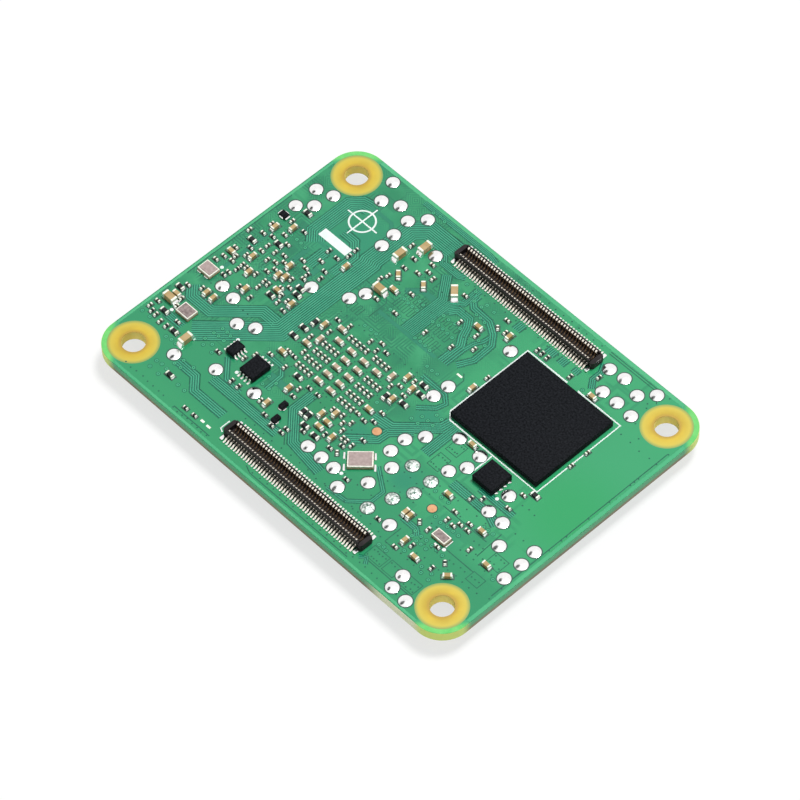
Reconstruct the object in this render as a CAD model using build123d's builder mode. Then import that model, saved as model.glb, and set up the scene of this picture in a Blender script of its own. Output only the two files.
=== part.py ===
from build123d import *
import os

os.makedirs("parts", exist_ok=True)

# A compute module: a whole small computer on one circuit board, 55 mm by 40 mm. It plugs into its
# carrier with two board-to-board sockets. Millimetres; X along the board, Y across it, +Z towards
# the socket side. The module lies on its processor lid at z = 0, with the board's centre on the Z axis.

# Circuit board
board_length = 55.0
board_width = 40.0
board_thickness = 1.24
corner_radius = 3.5
hole_diameter = 2.7
hole_inset = 3.5

# Processor: the chip's carrier plate, the silicon die on it, and the stepped metal lid over the die
processor_x = -5.0
processor_y = -2.5
substrate_size = 17.0
substrate_height = 0.6
die_length = 9.0
die_width = 8.0
die_height = 0.75
lid_size = 14.6
lid_rim_height = 0.6
lid_boss_size = 12.4
lid_boss_height = 0.9
lid_corner_cut = 0.6
lid_pocket_size = 10.6
die_clearance = 0.03
processor_capacitor_pitch = 2.4
processor_capacitor_count = 5

# Heights of the two faces of the board
underside_z = substrate_height + lid_rim_height + lid_boss_height
topside_z = underside_z + board_thickness
top = Plane.XY.offset(topside_z)
under = Plane.XY.offset(underside_z)

# Board-to-board sockets, one near each long edge, as far apart as the carrier's plugs
socket_row_spacing = 34.0
socket_x = 2.5
socket_length = 21.4
socket_width = 1.8
socket_height = 1.25
socket_end_height = 0.97
socket_corner_cut = 0.25
socket_wall = 0.2
socket_end_wall = 0.5
socket_floor_top = 0.4
contact_pitch = 0.4
contacts_per_row = 50
contact_width = 0.18
contact_thickness = 0.1
contact_reach = 1.7
contact_below_rim = 0.08
contact_clearance = 0.02
tab_pitch = 20.6
tab_width = 0.35
tab_height = 0.25
tab_reach = 1.66

# Flash memory, boot memory and the two leaded chips
flash_length = 13.0
flash_width = 11.5
flash_height = 0.85
flash_x = 13.5
flash_y = 6.75
boot_size = 3.0
boot_height = 0.85
boot_x = 16.05
boot_y = -1.6
boot_pad_pitch = 0.65
boot_pad_width = 0.35
boot_pad_reach = 0.16
boot_pad_height = 0.2
lead_thickness = 0.12
lead_standoff = 0.08
lead_shoulder_run = 0.15
lead_foot_run = 0.3
monitor_length = 2.7
monitor_width = 2.1
monitor_height = 0.85
monitor_lead_span = 3.8
monitor_lead_pitch = 0.5
monitor_lead_width = 0.22
monitor_x = -11.95
monitor_y = -9.75
switch_length = 1.2
switch_width = 1.75
switch_height = 0.7
switch_lead_span = 2.1
switch_lead_pitch = 0.45
switch_lead_width = 0.2
switch_x = -15.4
switch_y = -9.45
leads_per_side = 4

# Quartz crystals: ceramic tray and seam-welded metal lid
tray_height = 0.3
crystal_lid_height = 0.25
crystal_rim = 0.08

# Chip capacitors and resistors, in three standard sizes
small_length = 0.6
small_width = 0.3
small_height = 0.3
medium_length = 1.0
medium_width = 0.5
medium_height = 0.5
resistor_height = 0.35
large_length = 1.6
large_width = 0.8
large_height = 0.8
large_terminal = 0.3
large_body_step = 0.03

# Round pads: tinned test pads and bare copper marks for the placing machine
test_pad_diameter = 1.55
test_pad_height = 0.16
test_pad_taper = 35
pad_sides = 8
fiducial_diameter = 1.05
fiducial_height = 0.04

# Small two-ended packages
diode_length = 1.0
diode_width = 0.65
diode_height = 0.45
filter_length = 1.0
filter_width = 0.75
filter_height = 0.45

# Packages on the processor side
memory_x = -3.0
memory_y = 12.0
memory_length = 14.5
memory_width = 10.0
memory_height = 1.0
controller_x = 12.5
controller_y = -6.5
controller_size = 13.0
controller_height = 1.3
network_x = -20.0
network_y = -10.0
network_size = 7.0
network_height = 0.9
power_x = 12.0
power_y = 8.5
power_size = 6.0
power_height = 0.9
inductor_x = 18.7
inductor_length = 2.5
inductor_width = 2.0
inductor_height = 1.2
inductor_pitch = 3.0
inductor_count = 3
power_capacitor_y = 14.0
power_capacitor_pitch = 2.2
power_capacitor_count = 4
shield_x = -20.5
shield_y = 2.0
shield_length = 12.0
shield_width = 11.0
shield_height = 1.4
shield_wall = 0.15
radio_chip_size = 7.0
radio_chip_height = 0.8
led_x = 25.5
led_y = -1.0
led_length = 1.6
led_width = 0.8
led_height = 0.6
led_pitch = 2.5
led_count = 2

# Socket for the antenna's push-on plug
antenna_x = -21.5
antenna_y = 12.5
antenna_base_size = 2.6
antenna_base_height = 0.3
antenna_shell_diameter = 2.0
antenna_shell_wall = 0.15
antenna_shell_height = 0.95
antenna_shell_sides = 12
antenna_pin_diameter = 0.5
antenna_pin_height = 0.8

# Where the small pieces stand, measured from the board's centre.
# "along" pieces have their length along X, "across" pieces along Y.
test_pad_places = [
    (-20.5, 18.7), (-17.5, 17.0), (-14.0, 17.8), (-19.5, 16.0), (-15.4, 16.1), (-15.1, 13.7),
    (-14.9, 11.7), (-25.7, 12.0), (-23.7, 12.7), (-24.15, 10.25), (-25.6, 8.8), (-9.75, 14.9),
    (-11.3, 5.9), (-12.1, 4.2), (-16.1, 2.3), (14.4, 17.55), (16.4, 17.8), (20.4, 18.7),
    (18.95, 17.15), (16.0, 14.9), (18.1, 14.95), (20.4, 14.75), (5.25, 11.65), (4.0, 3.6),
    (3.8, 1.6), (9.8, -0.3), (-22.95, -4.5), (-20.9, -4.8), (-16.2, -5.85), (-18.05, -6.85),
    (-15.05, -12.65), (-19.7, -14.5), (-9.85, -11.85), (-0.7, -12.5), (13.0, -0.4), (13.1, -2.4),
    (12.05, -4.1), (18.8, -1.8), (18.75, -4.7), (20.8, -4.7), (25.8, -4.9), (22.7, -7.0),
    (26.0, -7.0), (26.0, -9.5), (7.1, -2.75), (5.85, -4.55), (5.85, -6.65), (7.55, -8.1),
    (7.2, -11.2), (1.35, -12.5), (3.25, -12.5), (5.35, -13.9), (12.75, -13.35), (18.4, -16.8),
    (18.7, -18.6), (20.9, -18.8), (8.9, -6.35), (11.75, -6.4), (11.6, -8.7), (10.5, -10.8),
    (9.55, -13.5),
]
fiducial_places = [(3.0, -5.95), (14.35, -8.7)]

small_capacitors_along = [
    (-23.35, 5.1), (-25.2, 3.6), (-22.15, 4.4), (-21.25, 3.1), (-17.9, 5.45), (-19.35, 4.1),
    (-18.35, 3.6), (-17.45, 2.4), (-20.55, 2.45), (-23.5, 1.8), (-21.25, 1.8), (-25.85, 0.1),
    (-24.75, -1.45), (-25.85, -1.6), (-21.0, 0.3), (-20.55, 1.1), (-17.6, 0.5), (-18.2, -0.15),
    (-23.85, -2.75), (-26.15, -2.55), (-25.65, -7.1), (-26.3, -10.9), (-22.65, -11.3),
    (-5.05, 2.45), (-11.35, -5.4), (-12.4, -7.1), (0.4, -0.1), (1.6, -0.7), (1.7, -3.95),
    (-0.1, -5.8), (16.35, -7.3), (18.6, -7.3), (17.95, -8.05), (19.0, -8.05), (17.5, -8.7),
    (18.3, -11.75), (15.2, -14.9), (-8.65, 12.75), (-9.35, 11.85), (-9.05, 13.75), (-3.5, 13.35),
    (-7.7, 9.35), (-9.95, 6.2), (-7.1, 6.3), (2.1, 14.25), (19.85, -0.7), (19.95, -3.0),
]
small_capacitors_across = [
    (-24.2, 7.0), (-25.5, 5.15), (-26.6, 2.85), (-23.55, 2.75), (-22.3, 2.7), (-22.15, 1.4),
    (-24.25, 0.2), (-24.9, -0.75), (-23.55, -1.0), (-22.95, -1.0), (-21.55, -0.85), (-20.2, -0.85),
    (-19.6, -0.85), (-20.1, -1.85), (-18.3, 1.4), (-17.45, -0.9), (-17.05, -1.75), (-16.45, -0.95),
    (-24.2, -6.3), (-24.7, -8.85), (-24.3, -9.95), (-26.45, -11.9), (-25.05, -12.3),
    (-24.05, -12.6), (-9.2, 1.55), (-6.15, 1.75), (-10.2, -0.55), (-11.15, -2.4), (-10.15, -4.35),
    (-10.05, -7.2), (-2.35, -7.35), (-1.0, -7.2), (-0.3, -7.85), (-6.85, -8.1), (1.05, 1.4),
    (-0.3, -0.85), (0.35, -7.2), (-8.6, -12.05), (0.4, -8.55), (1.15, -9.2), (1.75, -9.2),
    (2.55, -9.2), (-5.45, 0.55), (6.15, 7.35), (16.5, -8.6), (20.9, -9.55), (16.05, -10.9),
    (-12.55, 14.0), (-7.6, 12.45), (-11.35, 9.3), (-11.65, 8.4), (-1.3, 10.45), (1.25, 10.4), (-2.95, 6.8),
    (0.45, 7.45), (3.15, 12.95), (2.4, 9.0), (20.65, 8.0), (20.65, 5.6), (-13.5, -8.3), (-14.0, -9.5),
]
small_capacitors_turned = [(2.15, -10.95), (14.7, -10.85), (2.1, 12.8)]
small_turn = -45
small_resistors_along = [
    (-22.15, 6.9), (-17.0, 6.95), (-24.1, 4.0), (-16.6, 4.75), (-24.65, 1.2), (-15.8, -2.15),
    (-23.95, -3.4), (-16.6, -10.9), (-10.75, 1.25), (-3.85, 1.9), (-10.4, -5.5), (-6.15, -7.2),
    (-4.85, -7.2), (1.9, -5.35), (1.05, -6.0), (2.9, -7.85), (-6.6, -9.2), (-6.9, -13.0),
    (-5.35, -13.5), (-2.45, -11.6), (1.85, -9.95), (1.15, -11.05), (-3.9, -12.65),
    (-3.95, -13.35), (-11.05, 12.9), (-10.9, 11.3), (11.4, -13.7), (5.35, -12.6), (-13.45, -18.45),
    (-12.05, -18.45),
]
small_resistors_across = [
    (-16.35, 9.2), (-16.3, 8.1), (-18.35, 7.05), (-17.6, 3.1), (-16.2, 3.75), (-23.5, -1.85),
    (-21.6, -3.3), (-19.65, -3.5), (-25.75, -12.25), (-23.1, -12.55), (-4.8, 1.35), (-0.5, -10.2),
    (16.3, -4.9), (16.35, -13.5), (19.85, -14.0), (7.25, 13.8), (7.9, 13.8), (8.7, 13.8),
    (12.2, 13.8), (14.45, 15.9), (17.2, -4.05), (-12.7, -12.5), (-11.65, -12.5), (-6.1, 0.55),
]
small_resistors_turned = [(20.35, -12.6)]
medium_capacitors_along = [
    (-25.7, -0.65), (-18.2, -0.75), (-25.5, -8.85), (-9.4, 0.65), (-10.7, -3.35), (-11.7, -6.0),
    (0.4, -4.65), (-1.45, -9.0), (-1.65, -10.0), (14.35, -6.3), (20.2, -7.1), (23.6, -9.75),
    (17.65, -14.4), (-9.45, 8.35), (0.6, 11.35), (15.8, 13.5), (11.45, 0.0),
]
medium_capacitors_across = [
    (-23.35, 6.35), (-15.4, 6.8), (-24.85, 5.05), (-19.75, 2.5), (-23.55, 0.5), (-22.25, -1.25),
    (-19.7, 0.75), (-18.95, 1.1), (-15.75, -0.95), (-20.8, -3.1), (-23.35, -6.45), (-22.3, -6.45),
    (-1.05, 0.1), (-11.2, -0.3), (-10.1, -2.0), (-1.65, -7.6), (0.2, 1.25), (1.65, 0.5),
    (1.15, -1.95), (-7.65, -8.85), (-7.85, -11.85), (-2.7, -8.7), (0.35, -10.0), (15.4, -13.65),
    (3.9, 12.8), (12.85, -11.1), (13.5, -11.1), (6.05, 5.2),
]
medium_capacitors_turned = [(-7.6, 11.0, -45), (-10.6, 10.1, -45), (21.75, -13.6, 45)]
medium_resistors_along = [
    (-23.8, 8.95), (-22.85, 3.75), (-25.35, 2.1), (-16.7, 1.25), (-16.3, 0.4), (-18.3, -1.65),
    (-26.0, -7.9), (-24.75, -11.3), (-21.95, -12.45), (-12.5, -2.1), (-12.5, -3.6), (-8.1, -7.05),
    (2.15, 1.75), (2.8, 0.65), (2.4, -1.5), (-2.85, -10.95), (-1.1, -11.15), (20.75, 0.15), (-17.9, -16.7),
]
medium_resistors_across = [(-12.2, -0.75), (0.35, -2.15), (-4.3, -9.8), (-3.55, -9.8)]
large_capacitor_places = [
    (-11.15, 14.65, 90), (-12.45, 12.1, 90), (-20.15, -12.4, 90), (-10.5, 7.25, 0),
    (-25.55, -9.8, 0), (-4.5, 12.7, -45),
]
diode_places = [(-6.35, -10.8), (-5.6, -12.6)]
filter_place = (-25.4, 6.9)
crystal_places = [
    ("radio_crystal", -25.55, -4.15, 2.0, 1.6, 0),
    ("network_crystal", -22.9, -9.75, 2.0, 1.6, 0),
    ("processor_crystal", 4.65, -9.9, 2.85, 2.1, 45),
    ("clock_crystal", 17.8, -10.65, 2.0, 1.2, 0),
]

# The field of decoupling capacitors behind the processor: two blocks of four by four small ones, two
# columns of bulk ones between them, and a row of each kind above
field_x = -5.15
field_y = -3.95
field_rows = 4
field_row_pitch = 1.3
field_column_pitch = 0.65
block_offset = 3.28
bulk_pitch = 1.9
bulk_row_y = -0.7
bulk_row_x = -5.5
bulk_row_pitch = 1.95
small_row_y = 0.55
small_row_left_x = -7.4
small_row_left_count = 3
small_row_right_x = -3.2
small_row_right_count = 4

hole_pitch_x = board_length - 2 * hole_inset
hole_pitch_y = board_width - 2 * hole_inset
socket_y = socket_row_spacing / 2


# Circuit board: glass-fibre laminate, milled to its outline, with four mounting holes
with BuildPart() as circuit_board:
    with BuildSketch(under):
        RectangleRounded(board_length, board_width, corner_radius)
        with GridLocations(hole_pitch_x, hole_pitch_y, 2, 2):
            Circle(hole_diameter / 2, mode=Mode.SUBTRACT)
    extrude(amount=board_thickness)
circuit_board.part.label = "circuit_board"
export_step(circuit_board.part, "parts/circuit_board.step")

# Test pads: low domes of solder on round copper pads
with BuildPart() as test_pads:
    with BuildSketch(top):
        with Locations(*test_pad_places):
            RegularPolygon(test_pad_diameter / 2, pad_sides)
    extrude(amount=test_pad_height, taper=test_pad_taper)
test_pads.part.label = "test_pads"
export_step(test_pads.part, "parts/test_pads.step")

# Fiducials: two flat bare copper spots that the placing machine looks for
with BuildPart() as copper_fiducials:
    with BuildSketch(top):
        with Locations(*fiducial_places):
            RegularPolygon(fiducial_diameter / 2, pad_sides)
    extrude(amount=fiducial_height)
copper_fiducials.part.label = "copper_fiducials"
export_step(copper_fiducials.part, "parts/copper_fiducials.step")

# Sockets. The moulded housing stands on its two ends, which are lower than its long walls. Each
# stamped contact is an L: its foot comes out under the long wall to be soldered, and its upright rises
# through a slit in the floor and lies against the inside of the wall.
contact_line = socket_width / 2 - socket_wall - contact_thickness
contact_rise = socket_height - contact_below_rim
contact_run = contact_pitch * (contacts_per_row - 1) + contact_width + 2 * contact_clearance
slot_length = socket_length - 2 * socket_end_wall
slot_width = socket_width - 2 * socket_wall
slit_width = contact_thickness + contact_clearance

for row, row_y in (("upper", socket_y), ("lower", -socket_y)):
    seat = Plane((socket_x, row_y, topside_z))

    with BuildPart() as housing:
        with BuildSketch(seat) as housing_outline:
            Rectangle(socket_length, socket_width)
            chamfer(housing_outline.vertices(), socket_corner_cut)
        extrude(amount=socket_end_height)
        with BuildSketch(seat):
            Rectangle(slot_length, socket_width)
        extrude(amount=socket_height)
        with BuildSketch(seat.offset(socket_floor_top)):
            Rectangle(slot_length, slot_width)
        extrude(amount=socket_height - socket_floor_top, mode=Mode.SUBTRACT)
        with BuildSketch(seat):
            with GridLocations(0, slot_width - slit_width, 1, 2):
                Rectangle(contact_run, slit_width)
        extrude(amount=socket_floor_top, mode=Mode.SUBTRACT)
        with BuildSketch(seat):
            Rectangle(contact_run, socket_width)
        extrude(amount=contact_thickness + contact_clearance, mode=Mode.SUBTRACT)
    housing.part.label = f"{row}_socket_housing"
    export_step(housing.part, f"parts/{row}_socket_housing.step")

    contact_planes = [
        Plane(
            origin=(socket_x + place.position.X - contact_width / 2, row_y, topside_z),
            x_dir=(0, 1, 0),
            z_dir=(1, 0, 0),
        )
        for place in GridLocations(contact_pitch, 0, contacts_per_row, 1)
    ]
    with BuildPart() as contacts:
        with BuildSketch(*contact_planes):
            with BuildLine():
                Polyline(
                    (contact_reach, 0),
                    (contact_line, 0),
                    (contact_line, contact_rise),
                    (contact_line + contact_thickness, contact_rise),
                    (contact_line + contact_thickness, contact_thickness),
                    (contact_reach, contact_thickness),
                    close=True,
                )
            make_face()
            mirror(about=Plane.YZ)
        extrude(amount=contact_width)
    contacts.part.label = f"{row}_socket_contacts"
    export_step(contacts.part, f"parts/{row}_socket_contacts.step")

    with BuildPart() as tabs:
        with BuildSketch(seat):
            with GridLocations(tab_pitch, socket_width / 2 + tab_reach, 2, 2):
                Rectangle(tab_width, tab_reach - socket_width / 2)
        extrude(amount=tab_height)
    tabs.part.label = f"{row}_socket_tabs"
    export_step(tabs.part, f"parts/{row}_socket_tabs.step")

# Flash memory: a thin moulded slab, soldered by joints that lie hidden under it
with BuildPart() as flash_memory:
    with BuildSketch(Plane((flash_x, flash_y, topside_z))):
        Rectangle(flash_length, flash_width)
    extrude(amount=flash_height)
flash_memory.part.label = "flash_memory"
export_step(flash_memory.part, "parts/flash_memory.step")

# Boot memory: a leadless package whose solder pads show along two sides
with BuildPart() as boot_memory:
    with BuildSketch(Plane((boot_x, boot_y, topside_z))):
        Rectangle(boot_size, boot_size)
    extrude(amount=boot_height)
boot_memory.part.label = "boot_memory"
export_step(boot_memory.part, "parts/boot_memory.step")

with BuildPart() as boot_memory_pads:
    with BuildSketch(Plane((boot_x, boot_y, topside_z))):
        with GridLocations(boot_size + boot_pad_reach, boot_pad_pitch, 2, leads_per_side):
            Rectangle(boot_pad_reach, boot_pad_width)
    extrude(amount=boot_pad_height)
boot_memory_pads.part.label = "boot_memory_pads"
export_step(boot_memory_pads.part, "parts/boot_memory_pads.step")


# Leaded chips: a moulded body carried just above the board by gull-wing leads, four on each side.
# Each lead leaves at half the body's height, drops, and ends in a flat soldered foot.
for name, chip_x, chip_y, turn, length, width, height, span, pitch, lead_width in (
    ("monitor_chip", monitor_x, monitor_y, 0, monitor_width, monitor_length, monitor_height,
     monitor_lead_span, monitor_lead_pitch, monitor_lead_width),
    ("switch_chip", switch_x, switch_y, 90, switch_width, switch_length, switch_height,
     switch_lead_span, switch_lead_pitch, switch_lead_width),
):
    seat = Plane(Location((chip_x, chip_y, topside_z), turn))
    with BuildPart() as chip_body:
        with BuildSketch(seat.offset(lead_standoff)):
            Rectangle(length, width)
        extrude(amount=height - lead_standoff)
    chip_body.part.label = f"{name}_body"
    export_step(chip_body.part, f"parts/{name}_body.step")

    root = width / 2
    knee = root + lead_shoulder_run
    toe = span / 2
    heel = toe - lead_foot_run
    shoulder = lead_standoff + (height - lead_standoff + lead_thickness) / 2
    lead_planes = [
        Plane(
            origin=seat.from_local_coords((place.position.X - lead_width / 2, 0, 0)),
            x_dir=seat.y_dir,
            z_dir=seat.x_dir,
        )
        for place in GridLocations(pitch, 0, leads_per_side, 1)
    ]
    with BuildPart() as chip_leads:
        with BuildSketch(*lead_planes):
            with BuildLine():
                Polyline(
                    (root, shoulder),
                    (knee, shoulder),
                    (heel, lead_thickness),
                    (toe, lead_thickness),
                    (toe, 0),
                    (heel - lead_thickness, 0),
                    (knee - lead_thickness, shoulder - lead_thickness),
                    (root, shoulder - lead_thickness),
                    close=True,
                )
            make_face()
            mirror(about=Plane.YZ)
        extrude(amount=lead_width)
    chip_leads.part.label = f"{name}_leads"
    export_step(chip_leads.part, f"parts/{name}_leads.step")

# Quartz crystals: each a ceramic tray closed by a thin metal lid
for name, crystal_x, crystal_y, length, width, turn in crystal_places:
    seat = Plane(Location((crystal_x, crystal_y, topside_z), turn))
    with BuildPart() as tray:
        with BuildSketch(seat):
            Rectangle(length, width)
        extrude(amount=tray_height)
    tray.part.label = f"{name}_tray"
    export_step(tray.part, f"parts/{name}_tray.step")

    with BuildPart() as crystal_lid:
        with BuildSketch(seat.offset(tray_height)):
            Rectangle(length - 2 * crystal_rim, width - 2 * crystal_rim)
        extrude(amount=crystal_lid_height)
    crystal_lid.part.label = f"{name}_lid"
    export_step(crystal_lid.part, f"parts/{name}_lid.step")

# Smallest chip capacitors, alone and in the two blocks behind the processor
with BuildPart() as small_capacitors:
    with BuildSketch(top):
        with Locations(*small_capacitors_along):
            Rectangle(small_length, small_width)
        with Locations(*small_capacitors_across):
            Rectangle(small_width, small_length)
        with Locations(*small_capacitors_turned):
            Rectangle(small_length, small_width, rotation=small_turn)
        with Locations((field_x - block_offset, field_y), (field_x + block_offset, field_y)):
            with GridLocations(field_column_pitch, field_row_pitch, field_rows, field_rows):
                Rectangle(small_width, small_length)
        with Locations((small_row_left_x, small_row_y)):
            with GridLocations(field_column_pitch, 0, small_row_left_count, 1):
                Rectangle(small_width, small_length)
        with Locations((small_row_right_x, small_row_y)):
            with GridLocations(field_column_pitch, 0, small_row_right_count, 1):
                Rectangle(small_width, small_length)
    extrude(amount=small_height)
small_capacitors.part.label = "small_capacitors"
export_step(small_capacitors.part, "parts/small_capacitors.step")

with BuildPart() as small_resistors:
    with BuildSketch(top):
        with Locations(*small_resistors_along):
            Rectangle(small_length, small_width)
        with Locations(*small_resistors_across):
            Rectangle(small_width, small_length)
        with Locations(*small_resistors_turned):
            Rectangle(small_length, small_width, rotation=small_turn)
    extrude(amount=small_height)
small_resistors.part.label = "small_resistors"
export_step(small_resistors.part, "parts/small_resistors.step")

# Middle-sized chips: the bulk capacitors of the field, a row above it, and single ones
with BuildPart() as medium_capacitors:
    with BuildSketch(top):
        with Locations(*medium_capacitors_along):
            Rectangle(medium_length, medium_width)
        with Locations(*medium_capacitors_across):
            Rectangle(medium_width, medium_length)
        with Locations(*[Location((x, y), turn) for x, y, turn in medium_capacitors_turned]):
            Rectangle(medium_length, medium_width)
        with Locations((field_x, field_y)):
            with GridLocations(bulk_pitch, field_row_pitch, 2, field_rows):
                Rectangle(medium_length, medium_width)
        with Locations((bulk_row_x, bulk_row_y)):
            with GridLocations(bulk_row_pitch, 0, field_rows, 1):
                Rectangle(medium_length, medium_width)
    extrude(amount=medium_height)
medium_capacitors.part.label = "medium_capacitors"
export_step(medium_capacitors.part, "parts/medium_capacitors.step")

with BuildPart() as medium_resistors:
    with BuildSketch(top):
        with Locations(*medium_resistors_along):
            Rectangle(medium_length, medium_width)
        with Locations(*medium_resistors_across):
            Rectangle(medium_width, medium_length)
    extrude(amount=resistor_height)
medium_resistors.part.label = "medium_resistors"
export_step(medium_resistors.part, "parts/medium_resistors.step")

# Large capacitors: a tan ceramic block between two metal end caps
large_seats = [Location((x, y), turn) for x, y, turn in large_capacitor_places]

with BuildPart() as large_capacitor_bodies:
    with BuildSketch(top):
        with Locations(*large_seats):
            Rectangle(large_length - 2 * large_terminal, large_width - 2 * large_body_step)
    extrude(amount=large_height - large_body_step)
large_capacitor_bodies.part.label = "large_capacitor_bodies"
export_step(large_capacitor_bodies.part, "parts/large_capacitor_bodies.step")

with BuildPart() as large_capacitor_terminals:
    with BuildSketch(top):
        with Locations(*large_seats):
            with GridLocations(large_length - large_terminal, 0, 2, 1):
                Rectangle(large_terminal, large_width)
    extrude(amount=large_height)
large_capacitor_terminals.part.label = "large_capacitor_terminals"
export_step(large_capacitor_terminals.part, "parts/large_capacitor_terminals.step")

# Protection diodes and the radio's filter: small black leadless packages
with BuildPart() as protection_diodes:
    with BuildSketch(top):
        with Locations(*diode_places):
            Rectangle(diode_width, diode_length)
    extrude(amount=diode_height)
protection_diodes.part.label = "protection_diodes"
export_step(protection_diodes.part, "parts/protection_diodes.step")

with BuildPart() as radio_filter:
    with BuildSketch(top):
        with Locations(filter_place):
            Rectangle(filter_length, filter_width)
    extrude(amount=filter_height)
radio_filter.part.label = "radio_filter"
export_step(radio_filter.part, "parts/radio_filter.step")


# The processor side hangs from the board's lower face, so its pieces are extruded downwards.
with BuildPart() as processor_substrate:
    with BuildSketch(under):
        with Locations((processor_x, processor_y)):
            Rectangle(substrate_size, substrate_size)
    extrude(amount=-substrate_height)
processor_substrate.part.label = "processor_substrate"
export_step(processor_substrate.part, "parts/processor_substrate.step")

substrate_face = Plane((processor_x, processor_y, underside_z - substrate_height))

with BuildPart() as processor_die:
    with BuildSketch(substrate_face):
        Rectangle(die_length, die_width)
    extrude(amount=-die_height)
processor_die.part.label = "processor_die"
export_step(processor_die.part, "parts/processor_die.step")

# Lid: a nickel-plated copper cap with a soldered rim, a raised middle and a pocket for the die
with BuildPart() as processor_lid:
    with BuildSketch(substrate_face) as lid_outline:
        Rectangle(lid_size, lid_size)
        chamfer(lid_outline.vertices(), lid_corner_cut)
    extrude(amount=-lid_rim_height)
    with BuildSketch(substrate_face.offset(-lid_rim_height)) as boss_outline:
        Rectangle(lid_boss_size, lid_boss_size)
        chamfer(boss_outline.vertices(), lid_corner_cut)
    extrude(amount=-lid_boss_height)
    with BuildSketch(substrate_face):
        Rectangle(lid_pocket_size, lid_pocket_size)
    extrude(amount=-die_height - die_clearance, mode=Mode.SUBTRACT)
processor_lid.part.label = "processor_lid"
export_step(processor_lid.part, "parts/processor_lid.step")

capacitor_columns = (substrate_size + lid_size) / 2

with BuildPart() as processor_capacitors:
    with BuildSketch(substrate_face):
        with GridLocations(capacitor_columns, processor_capacitor_pitch, 2, processor_capacitor_count):
            Rectangle(small_width, small_length)
    extrude(amount=-small_height)
processor_capacitors.part.label = "processor_capacitors"
export_step(processor_capacitors.part, "parts/processor_capacitors.step")

# Plain moulded packages, each a flat block with its solder joints underneath
for name, package_x, package_y, length, width, height in (
    ("working_memory", memory_x, memory_y, memory_length, memory_width, memory_height),
    ("io_controller", controller_x, controller_y, controller_size, controller_size, controller_height),
    ("network_chip", network_x, network_y, network_size, network_size, network_height),
    ("power_manager", power_x, power_y, power_size, power_size, power_height),
    ("radio_chip", shield_x, shield_y, radio_chip_size, radio_chip_size, radio_chip_height),
):
    with BuildPart() as package:
        with BuildSketch(Plane((package_x, package_y, underside_z))):
            Rectangle(length, width)
        extrude(amount=-height)
    package.part.label = name
    export_step(package.part, f"parts/{name}.step")

# Radio shield: a folded metal can, open towards the board, over the radio chip
with BuildPart() as radio_shield:
    with BuildSketch(Plane((shield_x, shield_y, underside_z))):
        Rectangle(shield_length, shield_width)
    extrude(amount=-shield_height)
    offset(amount=-shield_wall, openings=radio_shield.faces().sort_by(Axis.Z)[-1])
radio_shield.part.label = "radio_shield"
export_step(radio_shield.part, "parts/radio_shield.step")

# Power inductors and capacitors beside the power manager
with BuildPart() as power_inductors:
    with BuildSketch(Plane((inductor_x, power_y, underside_z))):
        with GridLocations(0, inductor_pitch, 1, inductor_count):
            Rectangle(inductor_length, inductor_width)
    extrude(amount=-inductor_height)
power_inductors.part.label = "power_inductors"
export_step(power_inductors.part, "parts/power_inductors.step")

with BuildPart() as power_capacitors:
    with BuildSketch(Plane((power_x, power_capacitor_y, underside_z))):
        with GridLocations(power_capacitor_pitch, 0, power_capacitor_count, 1):
            Rectangle(large_width, large_length)
    extrude(amount=-large_height)
power_capacitors.part.label = "power_capacitors"
export_step(power_capacitors.part, "parts/power_capacitors.step")

# Two status lights near the short edge
with BuildPart() as status_leds:
    with BuildSketch(Plane((led_x, led_y, underside_z))):
        with GridLocations(0, led_pitch, 1, led_count):
            Rectangle(led_width, led_length)
    extrude(amount=-led_height)
status_leds.part.label = "status_leds"
export_step(status_leds.part, "parts/status_leds.step")

# Antenna socket: a square base with a twelve-sided shell and a centre pin
antenna_seat = Plane((antenna_x, antenna_y, underside_z))
shell_radius = antenna_shell_diameter / 2

with BuildPart() as antenna_socket_base:
    with BuildSketch(antenna_seat):
        Rectangle(antenna_base_size, antenna_base_size)
    extrude(amount=-antenna_base_height)
antenna_socket_base.part.label = "antenna_socket_base"
export_step(antenna_socket_base.part, "parts/antenna_socket_base.step")

with BuildPart() as antenna_socket_shell:
    with BuildSketch(antenna_seat.offset(-antenna_base_height)):
        RegularPolygon(shell_radius, antenna_shell_sides)
        RegularPolygon(shell_radius - antenna_shell_wall, antenna_shell_sides, mode=Mode.SUBTRACT)
    extrude(amount=-antenna_shell_height)
antenna_socket_shell.part.label = "antenna_socket_shell"
export_step(antenna_socket_shell.part, "parts/antenna_socket_shell.step")

with BuildPart() as antenna_socket_pin:
    with BuildSketch(antenna_seat.offset(-antenna_base_height)):
        RegularPolygon(antenna_pin_diameter / 2, pad_sides)
    extrude(amount=-antenna_pin_height)
antenna_socket_pin.part.label = "antenna_socket_pin"
export_step(antenna_socket_pin.part, "parts/antenna_socket_pin.step")
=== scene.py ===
import bpy
import bmesh
import random
from math import atan2, cos, pi, radians, sin
from mathutils import Matrix, Vector


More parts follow.
